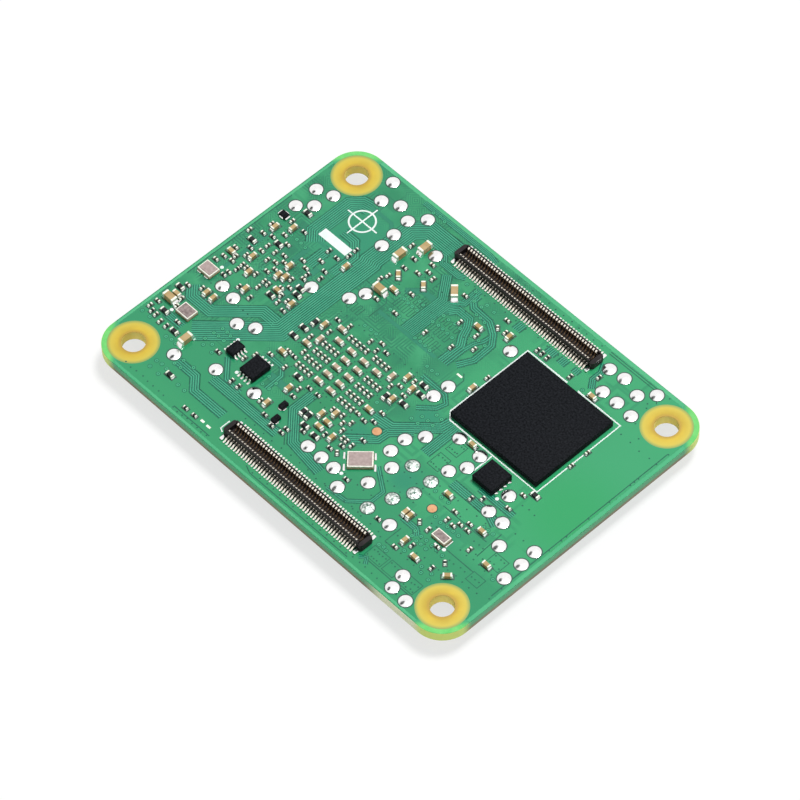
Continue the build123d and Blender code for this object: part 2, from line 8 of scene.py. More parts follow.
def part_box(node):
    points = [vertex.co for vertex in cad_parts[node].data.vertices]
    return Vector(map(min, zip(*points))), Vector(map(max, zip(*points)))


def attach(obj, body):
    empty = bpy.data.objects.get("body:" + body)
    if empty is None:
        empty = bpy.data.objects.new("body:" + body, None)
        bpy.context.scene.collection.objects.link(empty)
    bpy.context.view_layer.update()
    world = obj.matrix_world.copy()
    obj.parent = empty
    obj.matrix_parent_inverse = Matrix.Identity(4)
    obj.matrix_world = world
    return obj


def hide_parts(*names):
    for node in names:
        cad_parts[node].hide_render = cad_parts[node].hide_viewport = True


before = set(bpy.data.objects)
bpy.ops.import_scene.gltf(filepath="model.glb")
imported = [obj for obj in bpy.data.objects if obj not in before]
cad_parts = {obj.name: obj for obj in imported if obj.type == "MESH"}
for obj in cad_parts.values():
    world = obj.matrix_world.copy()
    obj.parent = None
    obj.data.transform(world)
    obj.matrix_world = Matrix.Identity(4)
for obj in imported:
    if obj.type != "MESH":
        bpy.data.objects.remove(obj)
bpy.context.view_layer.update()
random.seed(55)

# Camera: a long lens above the socket side of the module, off towards +X and -Y. Its place was worked
# out from the centres of the four mounting holes. Lengths in this script are millimetres until put()
# makes a piece of them, and the piece is then in metres.
MM = 0.001
azimuth = radians(47.878)
elevation = radians(53.353)
roll = radians(-1.7656)
camera_distance = 539.59
camera_aside = 0.2004
camera_lower = 1.7174
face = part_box("circuit_board")[1].z / MM
back_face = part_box("circuit_board")[0].z / MM

level = Vector((cos(azimuth), sin(azimuth), 0))
backwards = Vector((sin(azimuth) * cos(elevation), -cos(azimuth) * cos(elevation), sin(elevation)))
steep = backwards.cross(level)
across_view = level * cos(roll) + steep * sin(roll)
up_view = steep * cos(roll) - level * sin(roll)
lens = bpy.data.cameras.new("camera")
lens.lens = 227.19
lens.sensor_width = 36.0
lens.clip_start = 0.01
lens.clip_end = 20.0
camera = bpy.data.objects.new("camera", lens)
camera.matrix_world = Matrix((across_view, up_view, backwards)).transposed().to_4x4()
camera.location = MM * (
    backwards * camera_distance + across_view * camera_aside - up_view * camera_lower + Vector((0, 0, face))
)
bpy.context.scene.collection.objects.link(camera)
bpy.context.scene.camera = camera

# Studio: a pale floor, a soft lamp high up towards +Y, a weak one on the camera's side, and white all
# round. A dark card high up towards -X shows only in the bright metal.
floor_half = 3.0
floor_glow = 0.7
lamp_reach = 0.8
card_radius = 0.045
card_place = Vector((-0.44, -0.05, 0.90)) * 0.32


def studio_lamp(name, place, size, power):
    """A square soft lamp that looks at the module."""
    light = bpy.data.lights.new(name, "AREA")
    light.shape = "SQUARE"
    light.size = size
    light.energy = power
    lamp = bpy.data.objects.new(name, light)
    lamp.location = Vector(place) * lamp_reach
    lamp.rotation_euler = Vector(place).to_track_quat("Z", "Y").to_euler()
    bpy.context.scene.collection.objects.link(lamp)


def add(tree, kind, inputs=None, **settings):
    """Adds a shader node. Each input is given a value, or the output of another node."""
    made = tree.nodes.new("ShaderNode" + kind)
    for name, setting in settings.items():
        setattr(made, name, setting)
    for name, given in (inputs or {}).items():
        if isinstance(given, bpy.types.NodeSocket):
            tree.links.new(given, made.inputs[name])
        else:
            made.inputs[name].default_value = given
    return made


def studio_sheet(bm, name):
    """A thing of the studio, of a bmesh in metres, with a paint of its own."""
    mesh = bpy.data.meshes.new(name)
    bm.to_mesh(mesh)
    bm.free()
    paint = bpy.data.materials.new(name + "_paint")
    paint.use_nodes = True
    mesh.materials.append(paint)
    sheet = bpy.data.objects.new(name, mesh)
    bpy.context.scene.collection.objects.link(sheet)
    return sheet, paint.node_tree


studio_lamp("key_lamp", (0.05, 0.42, 1.4), 0.32, 11.8)
studio_lamp("fill_lamp", (0.9, -0.9, 0.9), 0.8, 1.2)

floor_bm = bmesh.new()
bmesh.ops.create_grid(floor_bm, x_segments=1, y_segments=1, size=floor_half)
floor, floor_tree = studio_sheet(floor_bm, "floor")
floor_tree.nodes.clear()
floor_matt = add(floor_tree, "BsdfDiffuse", {"Color": (0.93, 0.93, 0.93, 1)})
floor_white = add(floor_tree, "Emission", {"Strength": 1.0})
floor_ray = add(floor_tree, "LightPath")
floor_share = add(floor_tree, "Math", {0: floor_ray.outputs["Is Camera Ray"], 1: floor_glow},
                  operation="MULTIPLY")
floor_mix = add(floor_tree, "MixShader", {0: floor_share.outputs[0], 1: floor_matt.outputs[0],
                                          2: floor_white.outputs[0]})
add(floor_tree, "OutputMaterial", {"Surface": floor_mix.outputs[0]})

world = bpy.data.worlds.new("studio")
world.use_nodes = True
world_tree = world.node_tree
world_tree.nodes.clear()
world_ray = add(world_tree, "LightPath")
world_seen = world_ray.outputs["Is Camera Ray"]
for kind in ("Is Glossy Ray", "Is Transmission Ray"):
    both = add(world_tree, "Math", {0: world_seen, 1: world_ray.outputs[kind]}, operation="MAXIMUM")
    world_seen = both.outputs[0]
world_dim = add(world_tree, "Background", {"Color": (1, 1, 1, 1), "Strength": 0.3})
world_white = add(world_tree, "Background", {"Color": (1, 1, 1, 1), "Strength": 1.0})
world_mix = add(world_tree, "MixShader", {0: world_seen, 1: world_dim.outputs[0], 2: world_white.outputs[0]})
add(world_tree, "OutputWorld", {"Surface": world_mix.outputs[0]})
bpy.context.scene.world = world
bpy.context.scene.view_settings.view_transform = "Standard"

card_bm = bmesh.new()
bmesh.ops.create_circle(card_bm, cap_ends=True, radius=card_radius, segments=32)
bmesh.ops.scale(card_bm, vec=(1.9, 1.25, 1), verts=card_bm.verts)
card_turn = card_place.to_track_quat("Z", "Y").to_matrix().to_4x4()
bmesh.ops.transform(card_bm, matrix=Matrix.Translation(card_place) @ card_turn, verts=card_bm.verts)
card, card_tree = studio_sheet(card_bm, "dark_card")
card_tree.nodes["Principled BSDF"].inputs["Base Color"].default_value = (0.01, 0.02, 0.015, 1)
card.visible_camera = False
card.visible_diffuse = False
card.visible_shadow = False
card.visible_transmission = False


# Circuit board: glass-fibre laminate with copper on both faces under a glossy green mask. The laminate
# shows at its milled edges, in the corners outside the copper, and in the four mounting holes.
def span(node):
    """Lowest corner, highest corner and middle of a CAD node, in mm."""
    low, high = (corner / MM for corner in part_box(node))
    return low, high, (low + high) / 2


board_low, board_high, _ = span("circuit_board")
board_length = board_high.x - board_low.x
board_width = board_high.y - board_low.y
corner_radius = 3.5
hole_radius = 1.35
land_radius = 2.9
mask_depth = 0.03
barrel_wall = 0.03
hole_x = board_length / 2 - corner_radius
hole_y = board_width / 2 - corner_radius
holes = [(sx * hole_x, sy * hole_y) for sx in (-1, 1) for sy in (-1, 1)]


def put(bm, name, material, replaced=(), smooth=None):
    """Makes a piece, in metres, of a bmesh in millimetres, and lets it ride on the module."""
    bmesh.ops.scale(bm, vec=(MM, MM, MM), verts=bm.verts)
    mesh = bpy.data.meshes.new(name)
    bm.to_mesh(mesh)
    bm.free()
    mesh.materials.append(material)
    if smooth is not None:
        mesh.shade_smooth()
        mesh.set_sharp_from_angle(angle=radians(smooth))
    obj = bpy.data.objects.new(name, mesh)
    bpy.context.scene.collection.objects.link(obj)
    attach(obj, "root")
    if replaced:
        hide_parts(*replaced)
    return obj


def finish(name, colour, other, roughness, metallic=0.0, patch=1.0, grain=12.0, relief=0.001, specular=0.5,
           sheen_spread=0.08):
    """An opaque finish: two near colours in patches so many mm wide, and a fine grain with relief in mm."""
    material = bpy.data.materials.new(name)
    material.use_nodes = True
    tree = material.node_tree
    shader = tree.nodes["Principled BSDF"]
    shader.inputs["Metallic"].default_value = metallic
    shader.inputs["Specular IOR Level"].default_value = specular
    place = add(tree, "TexCoord").outputs["Object"]
    patches = add(tree, "TexNoise", {"Vector": place, "Scale": 1 / (patch * MM), "Detail": 3.0})
    spread = add(tree, "MapRange", {"Value": patches.outputs["Fac"], "From Min": 0.35, "From Max": 0.65})
    colours = add(tree, "Mix", {"Factor": spread.outputs["Result"], "A": (*colour, 1), "B": (*other, 1)},
                  data_type="RGBA")
    grains = add(tree, "TexNoise", {"Vector": place, "Scale": grain / MM, "Detail": 2.0})
    gloss = add(tree, "MapRange", {"Value": grains.outputs["Fac"], "To Max": roughness + sheen_spread,
                                   "To Min": max(roughness - sheen_spread, 0.02)})
    bump = add(tree, "Bump", {"Height": grains.outputs["Fac"], "Distance": relief * MM})
    tree.links.new(colours.outputs["Result"], shader.inputs["Base Color"])
    tree.links.new(gloss.outputs["Result"], shader.inputs["Roughness"])
    tree.links.new(bump.outputs["Normal"], shader.inputs["Normal"])
    return material


def soften(bm, geom, offset, segments=1, affect="EDGES"):
    """Bevels edges or corners, and returns the verts of the bevels."""
    return bmesh.ops.bevel(bm, geom=geom, offset=offset, offset_type="OFFSET", segments=segments, profile=0.5,
                           affect=affect, material=-1)["verts"]


def new_verts(result):
    """The verts that an extrusion made."""
    return [part for part in result["geom"] if isinstance(part, bmesh.types.BMVert)]


def plate(length, width, corner, openings, opening_radius, low, high):
    """A flat plate with round corners and round openings."""
    bm = bmesh.new()
    bmesh.ops.create_grid(bm, x_segments=1, y_segments=1, size=0.5)
    bmesh.ops.scale(bm, vec=(length, width, 1), verts=bm.verts)
    soften(bm, bm.verts[:], corner, 12, "VERTICES")
    bmesh.ops.delete(bm, geom=bm.faces[:], context="FACES_ONLY")
    for x, y in openings:
        bmesh.ops.create_circle(bm, cap_ends=False, radius=opening_radius, segments=48,
                                matrix=Matrix.Translation((x, y, 0)))
    bmesh.ops.triangle_fill(bm, use_beauty=True, use_dissolve=False, edges=bm.edges[:])
    bmesh.ops.translate(bm, vec=(0, 0, low), verts=bm.verts)
    lifted = bmesh.ops.extrude_face_region(bm, geom=bm.faces[:])
    bmesh.ops.translate(bm, vec=(0, 0, high - low), verts=new_verts(lifted))
    bmesh.ops.recalc_face_normals(bm, faces=bm.faces)
    return bm


def recolour(material, colour, share):
    """Mixes another colour over a finish by the share that a node gives."""
    tree = material.node_tree
    skin = tree.nodes["Principled BSDF"].inputs["Base Color"]
    blend = add(tree, "Mix", {"Factor": share, "A": skin.links[0].from_socket, "B": (*colour, 1)},
                data_type="RGBA")
    tree.links.new(blend.outputs["Result"], skin)


def fade(material, colour, start, end, point=None, direction=None, folded=False):
    """Lets a finish change to another colour over a distance in mm: from a point seen from above, or
    along a direction. Folded, all four quarters of the board are alike."""
    tree = material.node_tree
    place = add(tree, "TexCoord").outputs["Object"]
    fold = add(tree, "VectorMath", {0: place}, operation="ABSOLUTE" if folded else "ADD")
    flat = add(tree, "VectorMath", {0: fold.outputs["Vector"], 1: (1, 1, 0) if point else (1, 1, 1)},
               operation="MULTIPLY")
    target = (point[0] * MM, point[1] * MM, 0) if point else direction
    gauge = add(tree, "VectorMath", {0: flat.outputs["Vector"], 1: target},
                operation="DISTANCE" if point else "DOT_PRODUCT")
    share = add(tree, "MapRange", {"Value": gauge.outputs["Value"], "From Min": start * MM,
                                   "From Max": end * MM}, interpolation_type="SMOOTHSTEP")
    recolour(material, colour, share.outputs["Result"])


def etched(material, colour, cell, lines, strength, metric):
    """Adds faint lines that run side by side in patches, as tracks do that lie deep under the mask."""
    tree = material.node_tree
    place = add(tree, "TexCoord").outputs["Object"]
    flat = add(tree, "VectorMath", {0: place, 1: (1, 1, 0)}, operation="MULTIPLY").outputs["Vector"]
    cells = add(tree, "TexVoronoi", {"Vector": flat, "Scale": 1 / (cell * MM), "Randomness": 0.85},
                distance=metric)
    rows = add(tree, "Math", {0: cells.outputs["Distance"], 1: lines}, operation="MULTIPLY")
    comb = add(tree, "Math", {0: rows.outputs[0], 1: 0.5}, operation="PINGPONG")
    stripe = add(tree, "MapRange", {"Value": comb.outputs[0], "From Min": 0.32, "From Max": 0.12},
                 interpolation_type="SMOOTHSTEP")
    areas = add(tree, "TexNoise", {"Vector": flat, "Scale": 1 / (1.3 * cell * MM), "Detail": 0.0})
    area = add(tree, "MapRange", {"Value": areas.outputs["Fac"], "From Min": 0.46, "From Max": 0.54,
                                  "To Max": strength})
    amount = add(tree, "Math", {0: stripe.outputs["Result"], 1: area.outputs["Result"]}, operation="MULTIPLY")
    recolour(material, colour, amount.outputs[0])


laminate = finish("laminate", (0.15, 0.115, 0.050), (0.22, 0.175, 0.080), 0.45, patch=5.0, grain=10,
                  relief=0.01)
fade(laminate, (0.045, 0.33, 0.14), face - 1.0, face - 0.5, direction=(0, 0, 1))
# Pale towards the +X end of the near long edge: a painted highlight.
fade(laminate, (0.72, 0.76, 0.50), 6.5, 3.0, point=(22.0, -20.0))
# Yellow-green at the four corners: a painted glow, for light that comes through the laminate.
fade(laminate, (0.60, 0.72, 0.14), 43.0, 44.6, direction=(1, 1, 0), folded=True)
laminate_plate = plate(board_length, board_width, corner_radius, holes, hole_radius + barrel_wall,
                       back_face + mask_depth, face - mask_depth)
put(laminate_plate, "board_laminate", laminate, ["circuit_board"])

mask_green = finish("mask_green", (0.014, 0.25, 0.105), (0.035, 0.330, 0.146), 0.18, patch=3.0, grain=3.0,
                    relief=0.0012, sheen_spread=0.05)
etched(mask_green, (0.004, 0.145, 0.080), 3.4, 10.0, 0.8, "CHEBYCHEV")
etched(mask_green, (0.005, 0.155, 0.085), 2.3, 7.0, 0.65, "MANHATTAN")
fade(mask_green, (0.033, 0.350, 0.145), 0.5, 7.0, direction=(1, 0, 0))
etched(mask_green, (0.012, 0.230, 0.105), 3.9, 5.0, 0.55, "CHEBYCHEV")
teal_places = [(17.3, -10.4, 3.4), (5.6, -0.9, 2.6), (9.6, -8.4, 3.0), (1.6, -7.6, 2.4), (-17.0, 9.5, 8.5)]
for x, y, reach in teal_places:
    fade(mask_green, (0.014, 0.255, 0.135), reach, 0.5, point=(x, y))
fade(mask_green, (0.034, 0.350, 0.145), 9.0, 6.5, point=(25.0, 9.0))
fade(mask_green, (0.020, 0.345, 0.116), 9.0, 1.0, point=(25.0, 1.0))
fade(mask_green, (0.019, 0.280, 0.120), 8.5, 12.0, direction=(0, -1, 0))
# Darker round the chip field about (-5, -4): painted shade, for the shadows between the chips.
fade(mask_green, (0.016, 0.255, 0.104), 8.0, 4.0, point=(-5.0, -4.0))
fade(mask_green, (0.024, 0.305, 0.124), 16.0, 18.5, direction=(0, -1, 0))
mask_size = (board_length - 2 * mask_depth, board_width - 2 * mask_depth, corner_radius - mask_depth)
for side, low in (("upper", face - mask_depth), ("lower", back_face)):
    put(plate(*mask_size, holes, land_radius, low, low + mask_depth), side + "_mask", mask_green)


# Mounting holes: each has a plated barrel through the board and a round land on both faces, of copper
# under thin gold. The gold is deepest in colour beside the hole.
def washer(inner, outer, height):
    """The profile of a flat ring, to be turned."""
    return [(inner, 0), (outer, 0), (outer, height), (inner, height)]


def turned(profile, places, steps=24, start=0.0, sweep=2 * pi):
    """Solids of revolution about upright axes: the profile is a closed line of (radius, height)."""
    bm = bmesh.new()
    for x, y, z in places:
        line = [bm.verts.new((x + radius, y, z + height)) for radius, height in profile]
        edges = [bm.edges.new(pair) for pair in zip(line, line[1:] + line[:1])]
        bmesh.ops.rotate(bm, verts=line, cent=(x, y, z), matrix=Matrix.Rotation(start, 3, "Z"))
        bmesh.ops.spin(bm, geom=line + edges, cent=(x, y, z), axis=(0, 0, 1), angle=sweep, steps=steps,
                       use_merge=sweep == 2 * pi)
    bmesh.ops.remove_doubles(bm, verts=bm.verts, dist=0.0005)
    bmesh.ops.delete(bm, geom=[edge for edge in bm.edges if edge.is_wire], context="EDGES")
    bmesh.ops.recalc_face_normals(bm, faces=bm.faces)
    return bm


land_gold = finish("land_gold", (0.50, 0.345, 0.018), (0.64, 0.45, 0.025), 0.42, metallic=0.1, patch=2.2,
                   grain=14, relief=0.002)
for gold, start, end in (
    ((0.60, 0.48, 0.055), hole_radius + 0.2, land_radius - 0.2),
    ((0.44, 0.28, 0.03), hole_radius + 0.5, hole_radius),
    ((0.20, 0.32, 0.09), land_radius - 0.5, land_radius + 0.1),
):
    fade(land_gold, gold, start, end, point=(hole_x, hole_y), folded=True)
land_places = [(x, y, z) for x, y in holes for z in (back_face, face - mask_depth)]
put(turned(washer(hole_radius, land_radius, mask_depth), land_places, 48), "hole_lands", land_gold)
# The barrel wall lies in the board's shade, so its gold is painted far brighter than the lands': painted
# light.
barrel_gold_painted_light = finish("barrel_gold_painted_light", (1.0, 0.84, 0.22), (1.0, 0.90, 0.30), 0.6, patch=1.0)
barrel = washer(hole_radius, hole_radius + barrel_wall, face - back_face - 2 * mask_depth)
put(turned(barrel, [(x, y, back_face + mask_depth) for x, y in holes], 48), "hole_barrels", barrel_gold_painted_light,
    smooth=40)


# Corner windows: outside the lands no copper backs the mask, and light comes through it from below. Each is
# an arc of clear mask over the laminate, and its bright green is painted light for that glow.
def merge(bm, other):
    """Puts a bmesh into another one, and returns the verts that came in."""
    part = bpy.data.meshes.new("part")
    count = len(other.verts)
    other.to_mesh(part)
    other.free()
    bm.from_mesh(part)
    bm.verts.ensure_lookup_table()
    return bm.verts[-count:]


corner_painted_glow = finish("corner_painted_glow", (0.13, 0.60, 0.14), (0.19, 0.66, 0.17), 0.25, patch=1.0, grain=4,
                      relief=0.002)
fade(corner_painted_glow, (0.040, 0.37, 0.160), 44.2, 43.0, direction=(1, 1, 0), folded=True)
corner_bm = bmesh.new()
corner_window = washer(land_radius, corner_radius - mask_depth, 0.003)
corner_sweep = radians(112)
for x, y in holes:
    outward = atan2(y / hole_y, x / hole_x)
    merge(corner_bm, turned(corner_window, [(x, y, face)], 26, outward - corner_sweep / 2, corner_sweep))
bmesh.ops.holes_fill(corner_bm, edges=corner_bm.edges, sides=4)
bmesh.ops.recalc_face_normals(corner_bm, faces=corner_bm.faces)
put(corner_bm, "corner_windows", corner_painted_glow)

# Tracks: thin copper lines under the mask. The mask looks dark over bare laminate and light over
# copper, so each run of tracks is a dark strip with light lines on it.
mask_dark = finish("mask_dark", (0.010, 0.205, 0.115), (0.018, 0.240, 0.135), 0.18, patch=3.0, grain=3.0,
                   sheen_spread=0.05)
mask_deep = finish("mask_deep", (0.002, 0.105, 0.060), (0.005, 0.135, 0.076), 0.2, patch=2.0, grain=3.0,
                   sheen_spread=0.05)
mask_track = finish("mask_track", (0.026, 0.33, 0.185), (0.042, 0.38, 0.215), 0.22, patch=2.0, grain=3.0,
                    sheen_spread=0.05)
mask_edge = finish("mask_edge", (0.055, 0.42, 0.19), (0.075, 0.46, 0.21), 0.2, patch=6.0, grain=3.0)
via_light = finish("via_light", (0.035, 0.38, 0.185), (0.050, 0.42, 0.205), 0.2, patch=2.0, grain=3.0)
zone_height = 0.001
track_height = 0.0012
loose_track_width = 0.12


def beside(path, distance):
    """The path moved sideways, with mitred corners."""
    line = [Vector(point) for point in path]
    moved = []
    for i, point in enumerate(line):
        before = (point - line[i - 1]).normalized() if i else (line[1] - point).normalized()
        after = (line[i + 1] - point).normalized() if i + 1 < len(line) else before
        bisector = Vector((-before.y - after.y, before.x + after.x)).normalized()
        stretch = bisector.dot(Vector((-before.y, before.x)))
        moved.append(tuple(point + bisector * distance / max(stretch, 0.5)))
    return moved


def ribbons(lines, base, crest):
    """Flat ribbons with a slight crest along lines of (path, width)."""
    curve = bpy.data.curves.new("ribbons", "CURVE")
    curve.dimensions = "3D"
    curve.fill_mode = "FULL"
    curve.bevel_depth = 1.0
    curve.bevel_resolution = 0
    curve.use_fill_caps = True
    for path, width in lines:
        spline = curve.splines.new("POLY")
        closed = path[0] == path[-1]
        corners = path[:-1] if closed else path
        spline.points.add(len(corners) - 1)
        spline.use_cyclic_u = closed
        for point, (x, y) in zip(spline.points, corners):
            point.co = (x, y, 0, 1)
            point.radius = width / 2
    carrier = bpy.data.objects.new("ribbons", curve)
    bpy.context.scene.collection.objects.link(carrier)
    mesh = bpy.data.meshes.new_from_object(carrier)
    bpy.data.objects.remove(carrier)
    bm = bmesh.new()
    bm.from_mesh(mesh)
    for vert in bm.verts:
        vert.co.z = base + (crest if vert.co.z > 0.001 else 0)
    for side in bm.faces:
        side.smooth = False
    bmesh.ops.remove_doubles(bm, verts=bm.verts, dist=0.0005)
    bmesh.ops.recalc_face_normals(bm, faces=bm.faces)
    return bm


def outline(left, low, right, high):
    """The closed path round a rectangle."""
    return [(left, low), (right, low), (right, high), (left, high), (left, low)]


def swings(x, y, swing, step, turns):
    """A track that gains length: it goes along X in steps and swings to and fro along Y."""
    path = []
    for i in range(turns):
        near, far = (y, y + swing) if i % 2 else (y + swing, y)
        path += [(x + i * step, near), (x + i * step, far)]
    return path


# Each bundle is the middle line of a run, the number of its tracks and their pitch.
upper_bundles = [
    ([(-8.8, 16.9), (-12.8, 16.9), (-14.2, 15.5), (-14.2, 9.4), (-14.0, 9.0), (-14.0, -4.2),
      (-20.8, -11.0)], 10, 0.26),
    ([(-15.2, -3.7), (-17.3, -3.7), (-21.3, -7.7), (-24.2, -7.7), (-25.3, -6.6)], 6, 0.26),
    ([(-16.0, 19.2), (-5.6, 19.2), (-4.4, 18.9)], 3, 0.2),
    ([(-19.6, 14.4), (-20.6, 14.2), (-21.5, 13.2), (-21.5, 8.0), (-20.4, 6.9)], 8, 0.26),
    ([(-19.2, 10.0), (-17.4, 10.0), (-15.9, 8.5), (-15.9, 5.2)], 4, 0.26),
    ([(-18.6, 6.8), (-18.6, 4.2)], 5, 0.26),
    ([(-9.4, 17.6), (-9.3, 15.7), (-8.4, 14.8), (-6.0, 14.8), (-5.3, 15.2)], 4, 0.2),
    ([(-7.0, 14.0), (-4.9, 11.3), (-4.9, 5.6)], 5, 0.22),
    ([(-3.0, 15.0), (-2.9, 12.6), (-3.9, 11.4), (-3.9, 5.6)], 4, 0.22),
    ([(-2.5, 14.4), (-2.4, 13.5), (-1.7, 12.9), (0.8, 12.8), (2.3, 11.9), (3.3, 10.7), (3.4, 8.0),
      (2.5, 6.2)], 3, 0.26),
    ([(-3.3, 10.6), (-2.7, 11.5), (-1.0, 11.5), (-0.3, 10.6), (0.2, 9.4), (1.0, 8.3), (1.0, 5.4)], 4, 0.25),
    ([(2.4, 11.4), (2.3, 10.5), (1.8, 9.5), (1.6, 8.2), (1.6, 5.4)], 2, 0.25),
    *[([(x, 15.2), (x, y)], count, 0.25)
      for x, y, count in ((3.6, 14.0, 4), (8.4, 14.3, 5), (10.2, 14.2, 4), (12.1, 14.4, 3))],
    ([(13.5, 17.7), (14.1, 16.6), (14.1, 15.3), (14.9, 14.3)], 3, 0.22),
    ([(7.7, 0.5), (7.5, -0.7), (3.7, -4.5), (1.2, -4.8)], 5, 0.27),
    ([(5.8, -3.2), (3.9, -5.2), (3.8, -6.6), (1.2, -9.1)], 4, 0.27),
    ([(8.6, 0.4), (8.6, -4.3)], 5, 0.24),
    ([(1.0, 2.6), (4.5, 2.6), (5.5, 1.8), (5.2, 0.7), (3.6, -0.8)], 2, 0.26),
    ([(16.0, -3.3), (21.0, -3.3)], 3, 0.24),
    ([(13.4, -4.9), (19.0, -4.9), (20.6, -5.5)], 4, 0.24),
    ([(-5.3, -7.4), (-5.3, -10.2), (-2.2, -13.3), (2.6, -13.9)], 5, 0.24),
    ([(-14.4, -13.7), (-4.2, -13.7)], 5, 0.24),
    ([(-15.4, -10.6), (-13.3, -12.7), (-11.0, -12.9)], 2, 0.25),
    ([(-12.8, -7.3), (-10.4, -7.3), (-9.5, -8.2), (-9.4, -10.6)], 2, 0.25),
    ([(13.4, -18.4), (14.1, -17.9), (14.6, -18.6)], 2, 0.2),
    ([(6.4, -9.0), (9.2, -10.9), (9.2, -12.7), (7.3, -14.5), (4.6, -14.7)], 2, 0.22),
    ([(13.0, -11.7), (15.0, -11.7), (15.8, -12.3)], 3, 0.22),
    ([(-24.6, -11.3), (-21.9, -11.3)], 4, 0.24),
    ([(-18.8, -14.8), (-16.0, -14.8), (-14.6, -16.2), (-10.0, -16.2)], 4, 0.26),
]
upper_zones = [
    ([(-21.6, 14.6), (-16.4, 14.6), (-15.9, 14.0)], 0.5),
    ([(-22.6, 7.2), (-17.0, 7.2), (-16.4, 6.6)], 0.4),
    ([(-20.2, 5.8), (-20.2, -1.6)], 0.7),
    ([(-17.4, 4.6), (-17.4, -2.2)], 0.8),
    ([(-24.8, 4.6), (-24.8, -2.6)], 0.5),
    ([(-8.6, 9.2), (-7.2, 10.6), (-3.2, 10.6)], 0.9),
    ([(-8.6, 5.3), (0.2, 5.3)], 0.5),
    ([(-10.6, -9.0), (-7.0, -9.0)], 1.0),
]
upper_outlines = [
    *[outline(*box) for box in (
        (9.7, -2.3, 11.35, -0.6), (9.7, -5.0, 11.3, -3.0), (23.2, -12.4, 24.9, -11.1),
        (23.1, -9.5, 25.0, -7.8), (13.6, -17.8, 15.9, -16.2), (16.2, -17.8, 17.8, -16.2),
        (18.9, -17.8, 20.8, -16.2),
    )],
    [(13.6, -18.05), (21.0, -18.05)], [(17.0, -11.25), (23.2, -11.25)], [(12.9, 19.3), (20.2, 19.3)],
    [(12.9, 19.0), (20.0, 19.0), (21.2, 17.8)], [(13.9, -12.8), (13.9, -15.1), (15.2, -15.1)],
    [(-14.6, -19.1), (-9.0, -19.1)], [(-3.4, -18.9), (-2.4, -19.3), (12.6, -19.3)],
    [(26.65, 14.0), (26.65, -12.0)], [(-27.0, 9.5), (-27.0, -6.0)], [(21.8, -5.8), (22.0, -9.6)],
    [(-9.4, -13.2), (-3.6, -13.2), (-2.6, -14.2)], [(3.9, 6.0), (4.6, 5.3), (4.6, 3.2)],
    [(-12.6, 7.2), (-9.4, 7.2), (-8.8, 6.6), (-8.8, 4.0)], [(14.9, -7.6), (21.4, -7.6)],
]
upper_swings = [
    swings(x, y, swing, 0.36, turns)
    for x, y, swing, turns in (
        (-8.3, 8.7, 1.1, 8), (-8.3, 7.0, 1.2, 8), (-3.1, 9.0, 0.9, 8), (-3.1, 7.4, 1.1, 8),
        (-3.1, 5.7, 1.2, 8), (-19.6, 2.2, 0.8, 5), (-11.6, 3.2, 1.2, 6), (-12.2, -9.4, 1.0, 4),
    )
]


def lay_tracks(bundles, zones, outlines, surface, upward, name):
    """Lays the dark strips, the deep lines and the light tracks of one face of the board."""
    strips = [(path, (count + 1) * pitch) for path, count, pitch in bundles] + zones
    put(ribbons(strips, surface, upward * zone_height), name + "_bare_zones", mask_dark)
    deep = [(path, loose_track_width) for path in outlines]
    for path, count, pitch in bundles:
        deep += [(beside(path, (i - count / 2) * pitch), pitch * 0.4) for i in range(count + 1)]
    put(ribbons(deep, surface + upward * zone_height, upward * 0.001), name + "_gaps", mask_deep)
    light = []
    for path, count, pitch in bundles:
        light += [(beside(path, (i - (count - 1) / 2) * pitch), pitch * 0.5) for i in range(count)]
    put(ribbons(light, surface + upward * zone_height, upward * track_height), name + "_tracks", mask_track)


lay_tracks(upper_bundles, upper_zones, upper_outlines + upper_swings, face, 1, "upper")
rim_inset = 0.28
rim_x = board_length / 2 - rim_inset
rim_y = board_width / 2 - rim_inset
rim_lines = []
for side, width in ((1, 0.46), (-1, 0.3)):
    rim_lines.append(([(-hole_x, side * rim_y), (hole_x, side * rim_y)], width))
    rim_lines.append(([(side * rim_x, hole_y), (side * rim_x, -hole_y)], width))
put(ribbons(rim_lines, face, 0.002), "rim_strips", mask_edge)

